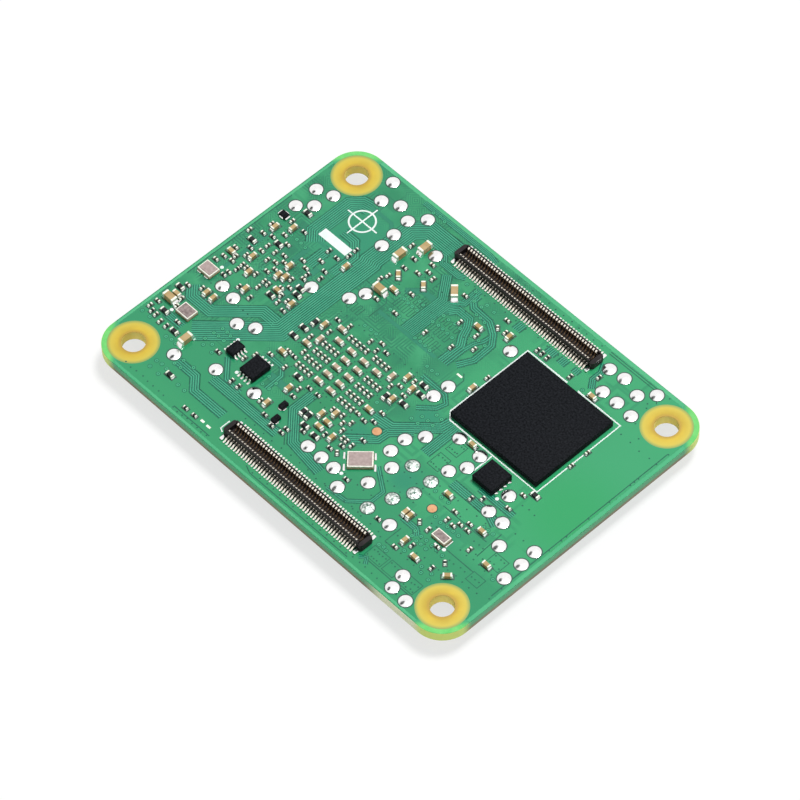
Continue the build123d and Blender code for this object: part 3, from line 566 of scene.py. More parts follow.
# Vias: small plated holes that join the copper layers. The mask dips into each, and most have a
# light copper ring in a dark clearing. Plain dark ones sit in the copper pour.
ring_rows = [
    (-7.9, -5.8, 4, 9.3), (-7.9, -5.8, 4, 8.3), (-7.9, -5.8, 4, 6.3), (-3.4, -0.5, 5, 8.5),
    (-3.3, -0.7, 4, 9.9), (-3.2, -0.9, 4, 5.6), (-0.9, 0.5, 3, 12.4), (0.9, 2.8, 3, 10.2),
    (-20.4, -18.8, 3, -16.3), (-20.3, -19.0, 2, -17.5), (-18.6, -17.3, 3, -8.4), (-18.9, -17.4, 3, -9.4),
    (-19.0, -17.9, 2, -10.6), (-18.5, -17.1, 2, -11.4), (-18.4, -17.0, 2, -14.2), (-18.8, -17.9, 2, -15.2),
    (-22.1, -20.6, 3, -13.4), (4.9, 6.5, 3, -1.1), (4.3, 5.3, 2, -2.1), (5.9, 6.6, 2, 0.1),
    (15.4, 18.8, 5, -9.2), (15.2, 19.4, 6, -12.0), (15.4, 17.6, 4, -12.7), (16.2, 20.4, 4, -14.6),
    (-10.4, -9.2, 2, -9.2), (-10.2, -9.1, 2, -10.4), (-14.5, -14.5, 1, -13.5), (-0.9, 0.2, 2, 14.1),
    (-4.5, -3.1, 2, 14.6), (-2.4, -1.2, 2, 13.6), (-14.2, -12.6, 3, 19.0),
    (-23.6, -20.6, 5, 5.6), (-25.9, -23.4, 3, 1.9), (-21.6, -18.4, 4, 0.2),
    (-8.2, -6.6, 3, 2.9), (0.4, 2.0, 3, 3.9), (0.2, 1.6, 2, -3.4), (-26.6, -25.4, 2, -13.0),
    (12.9, 15.0, 3, -6.9), (19.8, 21.2, 3, -6.4), (25.2, 25.2, 1, -10.4), (14.4, 14.4, 1, 13.6),
    (-16.4, -15.4, 2, -16.9), (13.7, 14.9, 3, -15.8), (19.4, 20.6, 2, -15.2),
]
dot_rows = [
    (-1.2, 11.6, 12, 19.15), (-2.2, 12.2, 15, -19.0), (-14.6, -9.2, 8, -19.3),
    *[(9.9, 11.1, 4, y) for y in (-0.95, -1.9, -3.4, -4.6)],
    (13.9, 15.6, 5, -16.6), (13.9, 15.6, 5, -17.5), (16.5, 17.6, 3, -16.6), (19.2, 20.6, 4, -16.7),
    (19.2, 20.6, 4, -17.5), (23.5, 24.6, 3, -11.7), (23.4, 24.7, 3, -8.2), (23.4, 24.7, 3, -9.1),
    (20.2, 24.8, 6, -10.2), (20.3, 22.6, 4, -11.9), (20.4, 21.8, 3, -8.4), (10.2, 19.6, 8, -6.1),
    *[(-12.1, -0.4, 20, y) for y in (-1.25, -2.6, -3.9, -5.3, -6.6)],
    (-11.4, 2.6, 18, -7.7), (-11.4, 2.2, 16, 2.4), (-26.4, -16.0, 15, -5.2),
    (-26.4, -16.4, 14, 3.4), (-26.2, -16.4, 13, 0.6), (-8.6, 12.4, 14, 15.0), (-8.0, 12.6, 16, -14.7),
    (20.7, 22.4, 3, -1.6), (20.9, 20.9, 1, 16.6), (20.4, 20.4, 1, 17.2), (21.7, 21.7, 1, 19.4),
    (21.4, 21.4, 1, 14.4), (23.1, 23.1, 1, 13.2), (16.0, 16.0, 1, 18.9), (8.0, 12.8, 6, -7.6),
    (7.6, 12.4, 6, -9.6), (4.2, 9.2, 6, -14.6), (-22.6, -16.4, 8, -18.9), (13.4, 20.4, 8, -13.7),
    (21.2, 25.4, 5, -12.9), (20.6, 25.0, 5, -4.7), (13.2, 19.2, 7, -15.1), (13.0, 20.6, 9, -18.9),
    (16.0, 20.4, 5, -7.3), (20.9, 23.6, 4, -9.4), (4.6, 8.6, 5, -12.2), (21.4, 25.6, 4, 12.2),
    (15.6, 18.6, 5, -10.0), (15.4, 19.6, 6, -12.3), (-9.6, 0.4, 11, 9.3), (-9.4, -2.0, 9, 12.0),
]
edge_dots = [(26.75, y) for y in (14.0, 12.2, 9.5, 8.9, 8.3, 5.2, 2.1, -1.15, -1.9, -3.7, -7.2, -10.6, -12.4)]


def row_places(rows, height):
    """Places along rows of (first x, last x, count, y), each a little off its mark."""
    places = []
    for first, last, count, y in rows:
        for i in range(count):
            x = first + (last - first) * i / max(count - 1, 1)
            places.append((x + random.uniform(-0.08, 0.08), y + random.uniform(-0.1, 0.1), height))
    return places


via_base = face + 0.008
ring_places = row_places(ring_rows, via_base)
dot_places = row_places(dot_rows, via_base) + [(x, y, via_base) for x, y in edge_dots]
put(turned(washer(0.19, 0.27, 0.002), ring_places, 12), "via_clearings", mask_deep)
put(turned(washer(0.08, 0.2, 0.004), ring_places, 12), "via_rings", via_light)
put(turned([(0, 0), (0.1, 0), (0, 0.003)], ring_places + dot_places, 8), "via_holes", mask_deep)

# Printed legend: white ink lines round the flash memory, a bar, a plain registration mark, the corner
# of the lower socket, and small orientation dots.
legend_ink = finish("legend_ink", (0.76, 0.84, 0.81), (0.84, 0.90, 0.88), 0.6, patch=0.5, grain=16,
                    relief=0.003)
legend_height = 0.014
mark_x = -18.85
mark_y = 12.5
mark_radius = 1.5
mark_arm = 2.3
thin_line = 0.18
legend_lines = [
    ([(12.5, 13.05), (6.5, 13.05), (6.5, 1.55), (7.35, 0.65), (20.5, 0.65), (20.5, 13.05),
      (14.1, 13.05)], 0.2),
    ([(13.85, 0.5), (13.85, -2.7)], thin_line),
    ([(-8.95, -16.2), (-8.95, -17.5), (-8.45, -17.75)], 0.15),
    ([(mark_x - mark_arm, mark_y), (mark_x + mark_arm, mark_y)], thin_line),
    ([(mark_x, mark_y - mark_arm), (mark_x, mark_y + mark_arm)], thin_line),
]
put(ribbons(legend_lines, face, legend_height), "legend_lines", legend_ink)
bar_bm = plate(4.25, 1.15, 0.04, (), 0.0, face, face + legend_height)
bmesh.ops.translate(bar_bm, vec=(-18.82, 8.42, 0), verts=bar_bm.verts)
put(bar_bm, "legend_bar", legend_ink)
mark_ring = washer(mark_radius - 0.1, mark_radius + 0.1, legend_height)
put(turned(mark_ring, [(mark_x, mark_y, face)], 48), "registration_mark", legend_ink)
legend_dots = [(18.2, -2.95), (19.0, -11.45), (4.35, -12.4), (-24.9, -2.8), (-24.4, -10.6), (-16.35, -8.25),
               (-13.2, -11.3)]
ink_dot = [(0, 0), (0.22, 0), (0.2, legend_height), (0, legend_height)]
put(turned(ink_dot, [(x, y, face) for x, y in legend_dots], 16), "legend_dots", legend_ink)


# Test pads: round copper pads tinned with solder, which stands on them as a low dome. A narrow ring of
# bare laminate shows round each, because the opening in the mask is wider than the pad.
def blocks(node):
    """Middle of the base, turn, length, width and height of each loose block of a CAD node, in mm."""
    bm = bmesh.new()
    bm.from_mesh(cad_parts[node].data)
    bmesh.ops.remove_doubles(bm, verts=bm.verts, dist=1e-7)
    bmesh.ops.scale(bm, vec=(1 / MM, 1 / MM, 1 / MM), verts=bm.verts)
    found = []
    for first in bm.verts:
        if first.tag:
            continue
        island = [first]
        first.tag = True
        for vert in island:
            for edge in vert.link_edges:
                other = edge.other_vert(vert)
                if not other.tag:
                    other.tag = True
                    island.append(other)
        low = min(vert.co.z for vert in island)
        high = max(vert.co.z for vert in island)
        base = [vert.co for vert in island if vert.co.z < (low + high) / 2]
        middle = sum(base, Vector()) / len(base)
        sides = sorted((point - base[0] for point in base[1:]), key=lambda side: side.length)
        width, length = sides[0].length, sides[1].length
        turn = atan2(sides[1].y, sides[1].x)
        found.append((middle, turn, length, width, high - low))
    bm.free()
    return found


solder_bright = finish("solder_bright", (0.88, 0.87, 0.87), (0.96, 0.95, 0.94), 0.16, metallic=1.0,
                       patch=0.5, grain=4, relief=0.003)
solder_worn = finish("solder_worn", (0.07, 0.15, 0.11), (0.86, 0.90, 0.86), 0.4, metallic=0.5, patch=0.28,
                     grain=4, relief=0.05)
pad_radius = 0.775
dome_radius = 2.0
dome_height = 0.156
rim_angle = 0.38
dome_profile = [(0, 0), (pad_radius, 0)]
for i in range(7):
    angle = rim_angle * (1 - i / 6)
    dome_profile.append((dome_radius * sin(angle), dome_height - dome_radius * (1 - cos(angle))))
worn_spots = [(8.9, -6.35), (11.75, -6.4), (11.6, -8.7), (10.5, -10.8), (9.55, -13.5)]
pad_places = [place for place, *_ in blocks("test_pads")]
worn_places = [place for place in pad_places
               if min((place.xy - Vector(spot)).length for spot in worn_spots) < pad_radius]
good_places = [place for place in pad_places if place not in worn_places]


def tilted_domes(places, lean, rough):
    """Domes that each lean a little their own way, as solder does, with a rough skin where it is worn."""
    bm = bmesh.new()
    for place in places:
        dome = turned(dome_profile, [(0, 0, 0)], 28)
        for vert in dome.verts:
            if vert.co.z > 0.02:
                vert.co.z = min(vert.co.z + random.uniform(-rough, rough), dome_height)
        lean_x = random.uniform(-lean, lean)
        lean_y = random.uniform(-lean, lean)
        for vert in merge(bm, dome):
            vert.co.z *= 1 + vert.co.x * lean_x + vert.co.y * lean_y
            vert.co += place
    return bm


put(tilted_domes(good_places, 0.3, 0.0), "test_pad_domes", solder_bright, ["test_pads"], smooth=50)
put(tilted_domes(worn_places, 0.3, 0.03), "worn_pad_domes", solder_worn, ["test_pads"], smooth=50)
clearance_and_shade = finish("clearance_and_shade", (0.004, 0.05, 0.03), (0.010, 0.08, 0.05), 0.4, patch=0.5)
clearing_height = 0.012
pad_clearing = washer(pad_radius - 0.02, 0.88, clearing_height)
put(turned(pad_clearing, pad_places, 24), "test_pad_clearances", clearance_and_shade)

# Fiducials: flat spots of bare copper, by which the placing machine finds the board. Each lies in its
# own round clearing, where the mask over the laminate is dark.
fiducial_places = [place for place, *_ in blocks("copper_fiducials")]
copper_bare = finish("copper_bare", (0.58, 0.27, 0.12), (0.68, 0.36, 0.17), 0.5, metallic=0.1, patch=0.4)
copper_spot = [(0, 0), (0.525, 0), (0.51, 0.035), (0, 0.035)]
put(turned(copper_spot, fiducial_places, 24), "fiducial_spots", copper_bare,
    ["copper_fiducials"])
put(turned(washer(0.5, 0.63, clearing_height), fiducial_places, 28), "fiducial_clearings", mask_deep)


# Chip capacitors and resistors: ceramic blocks with a tinned cap on each end. Each stands in an opening
# of the mask, where solder climbs its end caps from the pads.
def block(bm, size, middle=(0, 0, 0), bevel=0.0, segments=1):
    """Adds a block on its base's middle to a bmesh, with all its edges bevelled, and returns its verts."""
    verts = bmesh.ops.create_cube(bm, size=1.0)["verts"]
    bmesh.ops.scale(bm, vec=size, verts=verts)
    bmesh.ops.translate(bm, vec=Vector(middle) + Vector((0, 0, size[2] / 2)), verts=verts)
    if bevel:
        verts = soften(bm, list(dict.fromkeys(edge for vert in verts for edge in vert.link_edges)), bevel,
                       segments)
    return verts


def copies(model, places):
    """One bmesh with a copy of a model at each place, turned about the upright axis."""
    part = bpy.data.meshes.new("model")
    model.to_mesh(part)
    count = len(model.verts)
    model.free()
    bm = bmesh.new()
    for middle, turn in places:
        bm.from_mesh(part)
        bm.verts.ensure_lookup_table()
        bmesh.ops.transform(bm, matrix=Matrix.Translation(middle) @ Matrix.Rotation(turn, 4, "Z"),
                            verts=bm.verts[-count:])
    return bm


def single(size, middle=(0, 0, 0), bevel=0.0, segments=1):
    """A bmesh that holds one block."""
    bm = bmesh.new()
    block(bm, size, middle, bevel, segments)
    return bm


def chip_body(length, width, height, cap):
    return single((length - 1.2 * cap, width - 0.03, height - 0.02), bevel=0.02)


def chip_caps(length, width, height, cap):
    bm = bmesh.new()
    for side in (-1, 1):
        block(bm, (cap, width, height), (side * (length - cap) / 2, 0, 0), 0.035)
    return bm


def chip_solder(length, width, height, reach):
    """A wedge of solder at each end, from the pad up the end cap."""
    bm = bmesh.new()
    for side in (-1, 1):
        verts = block(bm, (reach + 0.06, width + 0.06, height * 0.6),
                      (side * (length / 2 + reach / 2 - 0.03), 0, 0))
        crown = [v for v in verts if v.co.z > 0.03]
        toe_top = [v for v in crown if side * v.co.x > length / 2]
        bmesh.ops.translate(bm, vec=(-side * reach * 0.7, 0, -height * 0.15), verts=toe_top)
        bmesh.ops.scale(bm, vec=(1, 0.8, 1), verts=crown)
    soften(bm, bm.edges[:], 0.03)
    return bm


def fit_chips(name, places, size, cap, reach, ceramic, body_node, cap_node=()):
    """Chips of one kind at their places: the ceramic, the two end caps, and the solder at both ends."""
    put(copies(chip_body(*size, cap), places), name + "_ceramic", ceramic, [body_node])
    put(copies(chip_caps(*size, cap), places), name + "_caps", cap_tin, cap_node)
    put(copies(chip_solder(*size, reach), places), name + "_solder", solder_bright, smooth=40)


capacitor_tan = finish("capacitor_tan", (0.42, 0.29, 0.12), (0.52, 0.38, 0.19), 0.5, patch=1.2, grain=18,
                       relief=0.002, specular=0.3)
fade(capacitor_tan, (0.50, 0.38, 0.28), 6.6, 4.6, point=(-5.3, -2.2))
capacitor_brown = finish("capacitor_brown", (0.012, 0.011, 0.008), (0.09, 0.07, 0.04), 0.45, patch=0.9,
                         grain=18, relief=0.002, specular=0.3)
resistor_glaze = finish("resistor_glaze", (0.008, 0.009, 0.010), (0.018, 0.018, 0.020), 0.3, patch=0.4,
                        grain=20, relief=0.002, specular=0.3)
cap_tin = finish("cap_tin", (0.74, 0.80, 0.66), (0.95, 0.96, 0.86), 0.35, metallic=0.4, patch=0.35,
                 grain=14, relief=0.004)

# Each chip's dark opening is made wider than the mask's: the extra is painted shade, for the chip's shadow on
# the board.
clearing_and_shade_length = 0.18
clearing_and_shade_width = 0.28
for name, cap, reach, ceramic, slot in (
    ("small_capacitor", 0.2, 0.07, capacitor_brown, "capacitor_ceramic"),
    ("medium_capacitor", 0.2, 0.16, capacitor_tan, "capacitor_ceramic"),
    ("small_resistor", 0.17, 0.07, resistor_glaze, "resistor_black"),
    ("medium_resistor", 0.22, 0.1, resistor_glaze, "resistor_black"),
):
    found = blocks(name + "s")
    length, width, height = found[0][2:]
    places = [(middle, turn) for middle, turn, *_ in found]
    fit_chips(name, places, (length, width, height), cap, reach, ceramic, name + "s")
    opening = (length + 2 * reach + clearing_and_shade_length, width + clearing_and_shade_width, clearing_height)
    put(copies(single(opening), places), name + "_clearings", clearance_and_shade)

large_size = (1.6, 0.8, 0.8)
large_cap = 0.28
large_places = [(middle, turn + (pi / 2 if length < 0.9 else 0))
                for middle, turn, length, *_ in blocks("large_capacitor_bodies")]
fit_chips("large_capacitor", large_places, large_size, large_cap, 0.34, capacitor_tan,
          "large_capacitor_bodies", ["large_capacitor_terminals"])

# Bare pads: tinned spots of copper where no chip is fitted, two of them near the long edge of the board
# on the camera's side.
bare_bm = bmesh.new()
for x, y, length, width in ((-10.95, -18.3, 0.5, 0.3), (-9.95, -18.35, 0.6, 0.28), (3.8, 5.45, 0.75, 0.25)):
    block(bare_bm, (length, width, 0.04), (x, y, face), 0.015)
put(bare_bm, "bare_pads", cap_tin)


# Sockets: a moulded housing with a slot between two long walls, and lower blocks at the ends. A stamped
# contact lies in each groove of a wall: its tail is soldered outside, and its spring leans into the slot.
socket_plastic = finish("socket_plastic", (0.015, 0.012, 0.013), (0.028, 0.023, 0.023), 0.45, patch=0.8,
                        grain=16, relief=0.003, specular=0.14)
contact_gold = finish("contact_gold", (0.96, 0.87, 0.72), (1.0, 0.95, 0.84), 0.3, metallic=0.75, patch=0.4,
                      grain=16, relief=0.002)
# The springs are the same gilt contacts as the tails. Their dark brown is painted shade and dark reflection
# of the slot.
spring_gold_painted_shade = finish("spring_gold_painted_shade", (0.15, 0.10, 0.06), (0.25, 0.17, 0.10), 0.35, metallic=0.8, patch=0.4,
                       grain=16, relief=0.002)
contact_pitch = 0.4
contact_count = 50
contact_width = 0.2
contact_thickness = 0.05
socket_wall = 0.2
socket_end_wall = 0.5
socket_end_height = 0.97
socket_corner_cut = 0.25
groove_top = 0.8
slot_floor = 0.3
socket_gap = 0.05
skin = 0.05
skin_inset = 0.03
rib_width = contact_pitch - contact_width - 0.06
tail_shade_strip = 0.56
tail_shade_strip_y = 1.12
tail_route = [(1.66, 0.05), (1.40, 0.06), (1.16, 0.27), (0.78, 0.30), (0.70, 0.42), (0.70, 1.12),
              (0.69, 1.18), (0.64, 1.19), (0.52, 1.07)]
spring_route = [(0.52, 1.07), (0.44, 0.85), (0.30, 0.58), (0.06, 0.38)]
spring_width = 0.14


def blocks_at(node, size, bevel, segments=1, asides=((0, 0),), base=None):
    """Blocks of one size, one at each step aside from each loose block of a CAD node."""
    bm = bmesh.new()
    for place, *_ in blocks(node):
        for x, y in asides:
            block(bm, size, (place.x + x, place.y + y, place.z if base is None else base), bevel, segments)
    return bm


def upright(edges):
    """The edges that stand more than half a millimetre high."""
    return [edge for edge in edges if abs(edge.verts[0].co.z - edge.verts[1].co.z) > 0.5]


def stamped(route, width):
    """A strip of sheet bent along a route of (y, height)."""
    bm = bmesh.new()
    line = [bm.verts.new((-width / 2, y, z)) for y, z in route]
    edges = [bm.edges.new(pair) for pair in zip(line, line[1:])]
    widened = bmesh.ops.extrude_edge_only(bm, edges=edges)
    bmesh.ops.translate(bm, vec=(width, 0, 0), verts=new_verts(widened))
    bmesh.ops.solidify(bm, geom=bm.faces[:], thickness=contact_thickness)
    bmesh.ops.recalc_face_normals(bm, faces=bm.faces)
    return bm


for row in ("upper", "lower"):
    low, high, middle = span(f"{row}_socket_housing")
    seat = Matrix.Translation((middle.x, middle.y, low.z))
    half_length = (high.x - low.x) / 2
    half_width = (high.y - low.y) / 2
    rim = high.z - low.z
    slot_half = half_length - socket_end_wall
    slot_side = half_width - socket_wall
    wall_middle = half_width - socket_wall / 2

    bm = bmesh.new()
    block(bm, (2 * slot_half, 2 * slot_side, slot_floor - socket_gap), (0, 0, socket_gap))
    for side in (-1, 1):
        block(bm, (2 * slot_half + 0.1, socket_wall, rim - groove_top), (0, side * wall_middle, groove_top),
              0.03)
        block(bm, (2 * slot_half, skin, groove_top - socket_gap), (0, side * (slot_side + skin_inset), 0.08))
        for i in range(contact_count + 1):
            x = (i - contact_count / 2) * contact_pitch
            block(bm, (rib_width, socket_wall - 0.04, groove_top - 0.08),
                  (x, side * (wall_middle + 0.01), 0.1))
        end = block(bm, (socket_end_wall, 2 * half_width, socket_end_height),
                    (side * (half_length - socket_end_wall / 2), 0, 0))
        outer = [vert for vert in end if abs(vert.co.x) > half_length - 0.01]
        corners = upright({edge for vert in outer for edge in vert.link_edges})
        soften(bm, sorted(corners, key=lambda edge: edge.verts[0].co.y), socket_corner_cut, 2)
    bmesh.ops.transform(bm, matrix=seat, verts=bm.verts)
    put(bm, f"{row}_socket_body", socket_plastic, [f"{row}_socket_housing"])

    places = [(Vector((side * (i - (contact_count - 1) / 2) * contact_pitch, 0, 0)), turn)
              for side, turn in ((1, 0.0), (-1, pi)) for i in range(contact_count)]
    toe = single((0.22, 0.36, 0.11), (0, 1.48, 0), 0.04)
    contacts = [f"{row}_socket_contacts"]
    for part_name, model, material, slot, replaced in (
        ("tails", stamped(tail_route, contact_width), contact_gold, "contact_gold", contacts),
        ("springs", stamped(spring_route, spring_width), spring_gold_painted_shade, "contact_gold", contacts),
        ("toes", toe, solder_bright, "solder", ()),
    ):
        bm = copies(model, places)
        bmesh.ops.transform(bm, matrix=seat, verts=bm.verts)
        put(bm, f"{row}_socket_{part_name}", material, replaced)

    # Dark strips along both rows of tails: painted shadow, under and between the tails.
    bm = bmesh.new()
    for side in (-1, 1):
        block(bm, (contact_count * contact_pitch - 0.1, tail_shade_strip, clearing_height),
              (0, side * tail_shade_strip_y, 0))
    bmesh.ops.transform(bm, matrix=seat, verts=bm.verts)
    put(bm, f"{row}_socket_tail_shade", clearance_and_shade)
    tabs = f"{row}_socket_tabs"
    put(blocks_at(tabs, (0.42, 0.62, 0.25), 0.06), f"{row}_socket_ends", solder_bright, [tabs],
        smooth=40)


# Flash memory and the other moulded packages: black epoxy, finely matt, with slightly rounded edges. The
# boot memory, without leads, stands on solder that shows beside it.
package_black = finish("package_black", (0.0045, 0.0052, 0.0065), (0.016, 0.0175, 0.021), 0.6, patch=0.22,
                       grain=9, relief=0.012, specular=0.03)


def boxed(node, bevel, name, material, segments=2):
    """A rounded block in place of a CAD node's plain one."""
    low, high, middle = span(node)
    put(single(high - low, (middle.x, middle.y, low.z), bevel, segments), name, material, [node],
        smooth=30)


for node, bevel, name in (
    ("flash_memory", 0.06, "flash_package"),
    ("boot_memory", 0.06, "boot_package"),
    ("monitor_chip_body", 0.08, "monitor_package"),
    ("switch_chip_body", 0.06, "switch_package"),
    ("radio_filter", 0.04, "filter_package"),
):
    boxed(node, bevel, name, package_black)
put(blocks_at("boot_memory_pads", (0.22, 0.36, 0.22), 0.07), "boot_joints", solder_bright,
    ["boot_memory_pads"], smooth=40)
put(blocks_at("protection_diodes", (0.65, 1.0, 0.45), 0.04), "diode_packages", package_black,
    ["protection_diodes"])

# Solder fillets of the leadless parts: on two ends of each diode, round the filter, and along the free
# side of the boot memory.
bm = bmesh.new()
for place, *_ in blocks("protection_diodes"):
    block(bm, (0.5, 0.22, 0.16), place + Vector((0, -0.56, 0)), 0.05)
    block(bm, (0.2, 0.5, 0.16), place + Vector((0.4, -0.2, 0)), 0.05)
low, high, middle = span("radio_filter")
half = (high - low) / 2
for side in (-1, 1):
    block(bm, (0.24, 0.7, 0.3), (middle.x + side * (half.x + 0.08), middle.y, face), 0.05)
    block(bm, (0.6, 0.2, 0.3), (middle.x, middle.y + side * (half.y + 0.06), face), 0.05)
boot_side = span("boot_memory")[1].x
for y in (-0.45, -1.15, -1.75, -2.45):
    block(bm, (0.22, 0.3, 0.14), (boot_side + 0.14, y, face), 0.05)
put(bm, "leadless_fillets", solder_bright, smooth=40)


# Leads of the monitor and switch chips: matt tinned copper, bent down to the board. The CAD's own leads
# are kept, with a finish of their own.
def refinish(material, *nodes):
    """Gives a finish to CAD nodes whose shape is kept."""
    for node in nodes:
        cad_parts[node].data.materials.clear()
        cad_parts[node].data.materials.append(material)


lead_tin = finish("lead_tin", (0.74, 0.73, 0.70), (0.84, 0.83, 0.80), 0.3, metallic=1.0, patch=0.4)
refinish(lead_tin, "monitor_chip_leads", "switch_chip_leads")

# Quartz crystals: a fired ceramic tray with a plated rim, and a thin satin metal lid welded inside it.
# Each stands on solder that shows as short bright strips beside it.
crystal_tray = finish("crystal_tray", (0.30, 0.22, 0.13), (0.42, 0.33, 0.21), 0.5, patch=0.4)
crystal_rim = finish("crystal_rim", (0.76, 0.72, 0.62), (0.92, 0.90, 0.82), 0.35, metallic=0.3, patch=0.4,
                     grain=10, relief=0.004)
lid_pale = finish("lid_pale", (0.34, 0.26, 0.245), (0.44, 0.35, 0.33), 0.4, metallic=0.2, patch=0.35,
                  grain=10, relief=0.004, specular=0.3)
lid_dull = finish("lid_dull", (0.19, 0.145, 0.138), (0.34, 0.27, 0.255), 0.4, metallic=0.2, patch=0.35,
                  grain=10, relief=0.004, specular=0.3)
for crystal, lid_metal in (("radio", lid_pale), ("network", lid_dull), ("processor", lid_pale),
                           ("clock", lid_dull)):
    tray_node = f"{crystal}_crystal_tray"
    lid_node = f"{crystal}_crystal_lid"
    middle, turn, length, width, height = blocks(tray_node)[0]
    tray = single((length, width, height), bevel=0.05)
    put(copies(tray, [(middle, turn)]), f"{crystal}_tray", crystal_tray, [tray_node])
    middle, turn, *_, height = blocks(lid_node)[0]
    rim = single((length - 0.06, width - 0.06, height * 0.75), bevel=0.03)
    put(copies(rim, [(middle, turn)]), f"{crystal}_rim", crystal_rim)
    lid = single((length - 0.34, width - 0.34, height), bevel=0.03)
    put(copies(lid, [(middle, turn)]), f"{crystal}_cover", lid_metal, [lid_node], smooth=40)
bm = bmesh.new()
for x, y, length, width, turn in (
    (-26.2, -4.97, 0.6, 0.2, 0), (-25.1, -4.97, 0.6, 0.2, 0), (-24.7, -9.7, 0.4, 0.9, 0),
    (18.1, -11.6, 0.8, 0.26, 0), (15.95, -10.75, 0.36, 0.6, 0), (18.92, -10.6, 0.16, 1.1, 0),
    (5.35, -8.35, 0.9, 0.25, -45), (6.4, -9.4, 0.9, 0.25, -45), (4.0, -11.7, 0.9, 0.25, -45),
    (2.9, -10.6, 0.9, 0.25, -45),
):
    strip = block(bm, (length, width, 0.1), (0, 0, 0), 0.035)
    place = Matrix.Translation((x, y, face)) @ Matrix.Rotation(radians(turn), 4, "Z")
    bmesh.ops.transform(bm, matrix=place, verts=strip)
put(bm, "crystal_joints", solder_bright, smooth=40)

# Processor: a green carrier plate with the silicon die and small capacitors on it, under a stepped lid
# of copper plated with nickel. The module lies on the flat of this lid.
carrier_green = finish("carrier_green", (0.03, 0.09, 0.05), (0.04, 0.12, 0.07), 0.4, patch=1.0)
nickel = finish("nickel", (0.60, 0.60, 0.58), (0.66, 0.66, 0.64), 0.32, metallic=1.0, patch=2.5, grain=16,
                relief=0.004)
silicon_grey = finish("silicon_grey", (0.12, 0.12, 0.15), (0.16, 0.16, 0.19), 0.1, patch=3.0)
boxed("processor_substrate", 0.04, "processor_carrier", carrier_green, 1)
low, high, middle = span("processor_lid")
lid_size = 14.6
lid_rim = 0.6
crown_size = 12.4
bm = bmesh.new()
block(bm, (lid_size, lid_size, lid_rim), (middle.x, middle.y, high.z - lid_rim), 0.12, 3)
block(bm, (crown_size, crown_size, 1.0), (middle.x, middle.y, low.z), 0.15, 3)
put(bm, "processor_cover", nickel, ["processor_lid"], smooth=40)
refinish(silicon_grey, "processor_die")
refinish(cap_tin, "processor_capacitors")

# Packages on the processor side: the working memory, the input and output controller, the network chip
# and the power manager, moulded alike. A moulded dot shows the first corner of each.
dot_gloss = finish("dot_gloss", (0.03, 0.03, 0.034), (0.045, 0.045, 0.05), 0.25, patch=0.5, grain=14)
lower_packages = {
    "working_memory": (0.06, "memory_package"),
    "io_controller": (0.08, "controller_package"),
    "network_chip": (0.06, "network_package"),
    "power_manager": (0.06, "power_package"),
}
first_corners = []
for node, (bevel, name) in lower_packages.items():
    boxed(node, bevel, name, package_black)
    low, high, _ = span(node)
    first_corners.append((low.x + 0.9, high.y - 0.9, low.z - 0.005))
dot_profile = [(0, 0), (0.32, 0), (0.32, 0.006), (0, 0.006)]
put(turned(dot_profile, first_corners, 24), "first_corner_dots", dot_gloss)

# Tracks, vias and legend of the processor side. Wide groups of tracks join the packages, and a white line
# goes round each package.
lower_bundles = [
    ([(-3.5, 4.6), (-3.5, 7.4)], 34, 0.3), ([(2.0, -4.6), (6.4, -4.6)], 22, 0.3),
    ([(-12.2, 1.0), (-14.8, 1.0)], 14, 0.3), ([(-12.2, -6.0), (-15.0, -6.0), (-17.6, -8.6)], 10, 0.3),
    ([(-6.0, -9.6), (-6.0, -12.2), (-9.2, -15.4), (-9.2, -18.4)], 12, 0.3),
    ([(-0.6, -9.6), (-0.6, -12.0), (2.6, -15.2), (2.6, -18.4)], 12, 0.3),
    ([(11.0, -12.8), (11.0, -18.2)], 14, 0.3), ([(16.0, -12.8), (18.8, -15.6), (18.8, -18.2)], 8, 0.3),
    ([(12.4, 0.2), (12.4, 5.2)], 10, 0.3), ([(4.4, 12.0), (8.2, 12.0), (9.6, 13.4), (9.6, 17.0)], 8, 0.3),
    ([(19.2, -4.0), (22.4, -4.0), (24.6, -1.8), (24.6, 0.4)], 4, 0.3),
    ([(-10.6, 12.0), (-13.4, 12.0), (-15.6, 14.2), (-15.6, 17.6)], 8, 0.3),
    ([(-21.5, 10.8), (-21.5, 7.8)], 1, 0.5),
]
lower_swings = [
    swings(x, y, swing, 0.4, turns)
    for x, y, swing, turns in ((3.2, 2.6, 1.6, 12), (3.2, 0.2, 1.6, 10), (-14.6, -12.6, 2.2, 9))
]
lay_tracks(lower_bundles, [], lower_swings, back_face, -1, "lower")
lower_vias = row_places([
    (-12.4, 2.4, 26, 5.6), (-12.6, 2.6, 24, -10.6), (3.6, 3.6, 1, -9.0), (5.0, 20.0, 22, 1.2),
    (5.0, 20.0, 22, -14.0), (8.2, 15.6, 9, 12.4), (8.2, 15.6, 9, 4.6), (-26.4, -14.4, 16, 8.6),
    (-26.4, -14.4, 16, -4.6), (-18.6, -10.6, 10, 18.2), (-2.4, 6.6, 10, 18.3), (-20.6, -13.2, 8, -16.8),
    (21.6, 25.8, 5, 6.8), (21.6, 25.8, 5, -7.6), (21.8, 25.6, 5, -9.4), (14.6, 20.8, 8, 16.8),
], back_face - 0.006)
put(turned(washer(0.12, 0.26, 0.003), lower_vias, 12), "lower_via_rings", via_light)
put(turned([(0, 0), (0.13, 0), (0, -0.002)], lower_vias, 8), "lower_via_holes", mask_deep)
frame_gap = 0.35
frame_line = 0.16
lower_frames = []
for node in ("processor_substrate", *lower_packages, "radio_shield"):
    low, high, _ = span(node)
    box = outline(low.x - frame_gap, low.y - frame_gap, high.x + frame_gap, high.y + frame_gap)
    lower_frames.append((box, frame_line))
